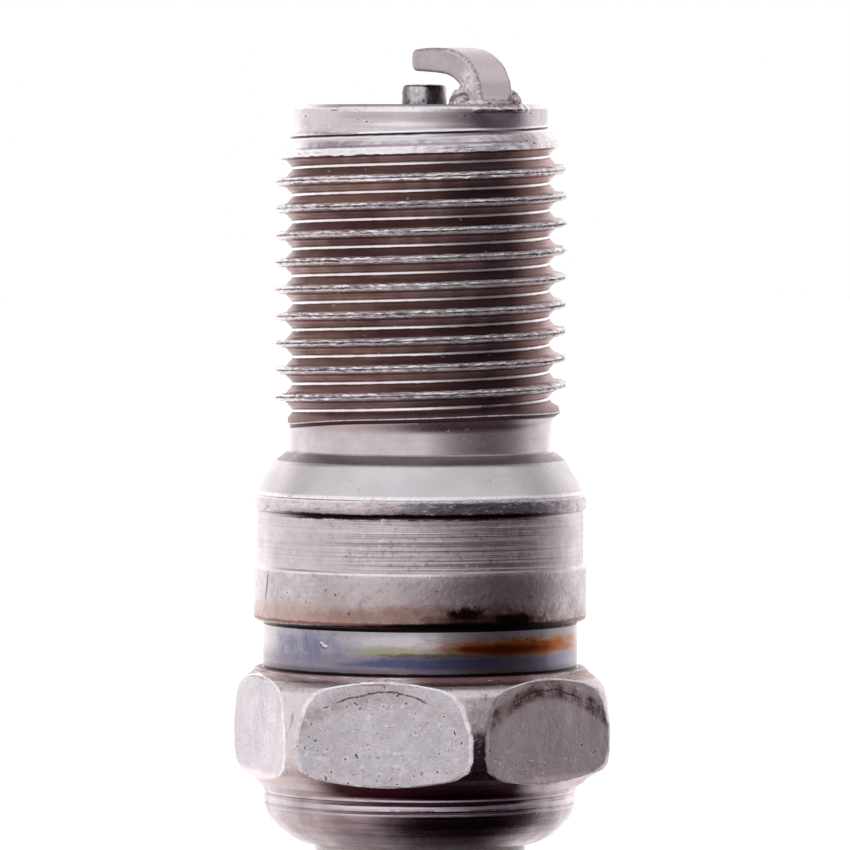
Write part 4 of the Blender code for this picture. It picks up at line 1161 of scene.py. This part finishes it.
# ---- the centre electrode
def electrode_nickel():
    """The centre electrode's tip: dark, with a painted highlight down its middle and painted shade at its
    sides.
    """
    made, colour, worn, bumps = nickel("electrode_nickel", (0.44, 0.42, 0.45), (0.24, 0.225, 0.25), 0.3)
    mottled = made.noise(0.16, 4, 0.65, stretch=(1, 0.5), seed=3)
    # A painted highlight down the tip, a little left of the middle.
    painted_highlight = made.x.band(-0.46, 0.1, 0.15)
    colour = made.paint(colour, [
        (painted_highlight * 0.45, (0.88, 0.87, 0.93)),
        (mottled.ramp(0.55, 0.66, 0, 0.7), (0.9, 0.88, 0.94)),
        (mottled.ramp(0.45, 0.36, 0, 0.8), (0.09, 0.08, 0.09)),
        # Painted shade on the right side and on the left edge.
        (made.x.band(0.34, 0.98, 0.12) * 0.88, (0.11, 0.085, 0.11)),
        (made.x.ramp(-0.52, -0.76, 0, 0.8), (0.12, 0.1, 0.12)),
        (made.z.ramp(18.28, 18.36, 0, 0.7), (0.1, 0.085, 0.09)),
    ])
    return made.finish(colour, worn, bumps + [(mottled, 0.01)])


def make_centre_electrode():
    profile = [
        (0.0, 18.44), (0.3, 18.44), (0.78, 18.42), (0.93, 18.385), (1.0, 18.3), (1.02, 18.1),
        (1.03, 17.3), (1.01, 16.0), (1.0, 2.87), (1.78, 2.18), (1.78, 1.65), (1.22, 1.4),
        (1.1, 1.05), (1.22, 0.65), (0.59, 0.65), (0.59, 16.22), (0.0, 16.52),
    ]

    def worn(points):
        top = smooth_step(points[..., 2], 15.0, 17.0)[..., None]
        swell = 0.03 * rough(points, 0.35, 41) + 0.015 * rough(points, 0.12, 42)
        points = points + points * SIDEWAYS * swell[..., None] * top
        lean = smooth_step(points[..., 2], 4.0, 17.0)
        points[..., 0] += 0.15 * lean  # the electrode has crept off the axis in use
        drop = 0.02 * rough(points, 0.4, 43) * smooth_step(points[..., 2], 18.35, 18.42)
        points[..., 2] += np.minimum(drop, 0.0)
        return points

    return turned_piece("centre_electrode_tip", profile, "plug",
                        [electrode_nickel()], ("centre_electrode",), columns=96, step=0.09,
                        shape=worn, sharp=50.0, open_ended=True)


# ---- the insulator
INSULATOR = [
    (1.35, 17.2), (2.05, 17.15), (2.25, 17.05), (2.32, 16.9), (3.3, 7.4), (3.62, 6.6), (3.76, 6.2),
    (3.76, 4.54), (4.66, 3.84), (4.66, -4.1), (5.95, -5.35), (5.95, -11.2), (5.7, -11.55),
    (5.0, -11.8), (4.95, -12.0),
]
INSULATOR_HEAD = [
    (4.9, -33.9), (4.45, -37.5), (4.1, -40.3), (4.02, -40.62), (3.85, -40.84), (3.45, -41.0),
    (2.1, -41.0), (2.0, -40.85), (2.0, 2.1), (1.06, 2.9), (1.06, 17.12),
]
RIBS = 5
RIB_TOP = -21.4
RIB_PITCH = 2.5
NECK_R = 4.95
RIB_DEPTH = 0.62


def alumina():
    """Glazed white ceramic, with a baked and sooty nose at the firing end."""
    made = Shader("glazed_alumina", metallic=0)
    cloud = made.noise(3, 4)
    fine = made.noise(0.25, 4, 0.65)
    nose = made.z.ramp(3.8, 6.5)
    tip = (made.z + cloud * 3).ramp(16, 18.2)
    dirt = made.noise(0.7, 5, 0.7, stretch=(1, 0.35)).ramp(0.6, 0.74)
    low = made.z.ramp(-19.5, -16.8)
    specks = made.cells(1.1, 0.7).ramp(0.06, 0.03)
    baked = made.mix(fine.ramp(0.4, 0.6), (0.5, 0.36, 0.25), (0.64, 0.54, 0.43))
    colour = made.paint(made.mix(cloud.ramp(0.35, 0.65), (0.84, 0.835, 0.81), (0.9, 0.895, 0.88)), [
        (dirt * 0.16, (0.52, 0.46, 0.4)),
        (low * fine.ramp(0.35, 0.6, 0.15, 0.55), (0.42, 0.33, 0.27)),
        (specks * 0.6, (0.25, 0.2, 0.17)),
        (nose, baked),
        (tip * 0.8, (0.22, 0.16, 0.13)),
    ])
    made.feed(made.surface.inputs["Coat Weight"], 0.35)
    made.feed(made.surface.inputs["Coat Roughness"], 0.06)
    smooth = cloud.ramp(0.3, 0.7, 0.12, 0.22) + nose * 0.5
    pores = fine * nose
    return made.finish(colour, smooth, [(cloud, 0.02), (fine, 0.0015), (pores, 0.01)])


def make_insulator():
    ribs = []
    for i in range(RIBS):
        top = RIB_TOP - i * RIB_PITCH
        ribs += [
            (NECK_R, top), (NECK_R - 0.09, top - 0.1), (NECK_R - 0.3, top - 0.28),
            (NECK_R - 0.52, top - 0.55), (NECK_R - RIB_DEPTH, top - 0.85), (NECK_R - 0.6, top - 1.1),
            (NECK_R - RIB_DEPTH + 0.1, top - 1.35), (NECK_R - 0.3, top - 1.58), (NECK_R - 0.1, top - 1.75),
            (NECK_R - 0.02, top - 1.95),
        ]

    def uneven(points):
        swell = 0.0015 * rough(points, 3.0, 51)
        return points + points * SIDEWAYS * swell[..., None]

    profile = INSULATOR + ribs + INSULATOR_HEAD
    return turned_piece("insulator_body", profile, "plug", [alumina()],
                        ("insulator",), columns=144, step=0.35, shape=uneven, sharp=42.0)


# ---- the terminal
M4_PITCH = 0.7
STUD = [
    (0.0, -10.7), (1.3, -10.7), (1.5, -10.9), (1.5, -13.1), (1.85, -13.45), (1.85, -41.04),
    (2.84, -41.04), (2.9, -41.1), (2.9, -41.88), (2.78, -42.0), (1.6, -42.0), (1.6, -48.7),
    (1.4, -48.9), (0.0, -48.9),
]
NUT = [
    (2.3, -42.04), (2.72, -42.04), (2.8, -42.12), (2.8, -42.17), (3.02, -42.19), (3.15, -42.34),
    (3.15, -43.8), (3.02, -43.94), (2.8, -43.97), (2.8, -44.09), (2.7, -44.6), (2.66, -44.9),
    (2.5, -45.22), (2.45, -45.5), (2.49, -45.8), (2.62, -46.05), (2.82, -46.27), (2.98, -46.5),
    (3.1, -46.8), (3.16, -47.1), (3.19, -47.85), (3.18, -48.6), (3.12, -49.12), (3.02, -49.55),
    (2.85, -49.95), (2.62, -50.25), (2.45, -50.42), (2.25, -50.5), (1.2, -50.48), (0.0, -50.46),
    (0.0, -49.2), (2.05, -48.85), (2.05, -42.24),
]
KNURL_COUNT = 20
KNURL_DEPTH = 0.14


def plated(name, light, dark, roughness):
    """Plated terminal steel with turning lines and handling scratches."""
    made, colour, worn, bumps = steel(name, light, dark, roughness, streaks=0.004)
    scratch = made.noise(1, 5, 0.7, stretch=(0.8, 3.5), seed=14)
    colour = made.mix(scratch.ramp(0.6, 0.7, 0, 0.5), colour, (0.86, 0.85, 0.84))
    return made.finish(colour, worn, bumps + [(scratch, 0.004)])


def make_stud():
    """The terminal stud: its foot in the glass, its collar and its threaded end."""
    def threaded(points):
        radius, angle, z = polar(points)
        rise = np.mod(z - M4_PITCH * angle / math.tau + M4_PITCH / 2, M4_PITCH) - M4_PITCH / 2
        tall = np.clip((0.3 - np.abs(rise)) / 0.24, 0.0, 1.0) * 0.36
        run = smooth_step(-z, 42.4, 42.9) * smooth_step(z, -48.75, -48.3)
        outer = (radius > 1.5) & (z < -42.0)
        grow = np.where(outer, 1.0 + tall * run / np.maximum(radius, 1.0), 1.0)
        points[..., :2] *= grow[..., None]
        return points

    material = plated("stud_steel", (0.68, 0.66, 0.63), (0.52, 0.5, 0.48), 0.3)
    return turned_piece("terminal_post", STUD, "plug", [material],
                        ("terminal_stud",), columns=72, step=0.07, shape=threaded, sharp=45.0,
                        open_ended=True, coarse_above=-41.0)


def make_nut():
    """The terminal nut, with a knurled collar."""
    def knurled(points):
        radius, angle, z = polar(points)
        held = smooth_step(radius, 2.95, 3.12) * smooth_step(z, -44.0, -43.85)
        held *= smooth_step(-z, 42.15, 42.3)
        cut = 0.5 + 0.5 * np.cos(angle * KNURL_COUNT)
        shrink = 1.0 - held * KNURL_DEPTH * cut ** 1.5 / np.maximum(radius, 1.0)
        shrink += (radius > 2.3) * 0.0012 * rough(points, 0.8, 61)
        points[..., :2] *= shrink[..., None]
        return points

    material = plated("nut_steel", (0.7, 0.68, 0.65), (0.54, 0.52, 0.5), 0.26)
    return turned_piece("terminal_cap", NUT, "terminal_nut", [material],
                        ("terminal_nut",), columns=240, step=0.15, shape=knurled, sharp=40.0,
                        open_ended=True)


# ---- pieces that stay inside
def plain_metal(name, light, dark, roughness):
    made, colour, worn, bumps = steel(name, light, dark, roughness)
    return made.finish(colour, worn, bumps)


def powder(name, light, dark, roughness):
    """Pressed powder or fired glass: mottled, and not metal."""
    made = Shader(name, metallic=0)
    grains = made.noise(0.22, 5, 0.7)
    colour = made.mix(grains.ramp(0.38, 0.62), dark, light)
    return made.finish(colour, grains.ramp(0.3, 0.7, roughness - 0.08, roughness + 0.08), [(grains, 0.03)])


def dress_inner_nodes():
    """Materials for the CAD nodes that no piece stands in for."""
    packing = plain_metal("packing_steel", (0.5, 0.49, 0.5), (0.33, 0.32, 0.33), 0.45)
    glass = powder("seal_glass", (0.16, 0.17, 0.15), (0.06, 0.065, 0.06), 0.3)
    finishes = {
        "copper_core": plain_metal("core_copper", (0.8, 0.42, 0.28), (0.58, 0.28, 0.18), 0.32),
        "seat_washer": packing,
        "upper_packing_ring": packing,
        "lower_packing_ring": packing,
        "talc_packing": powder("pressed_talc", (0.8, 0.79, 0.75), (0.68, 0.66, 0.62), 0.85),
        "lower_glass_seal": glass,
        "upper_glass_seal": glass,
        "resistor_element": powder("resistor_carbon", (0.07, 0.07, 0.075), (0.03, 0.03, 0.03), 0.65),
    }
    for name, material in finishes.items():
        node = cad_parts[name]
        node.data.materials.clear()
        node.data.materials.append(material)


make_barrel()
make_body()
make_strap()
make_weld()
make_centre_electrode()
make_insulator()
make_stud()
make_nut()
dress_inner_nodes()
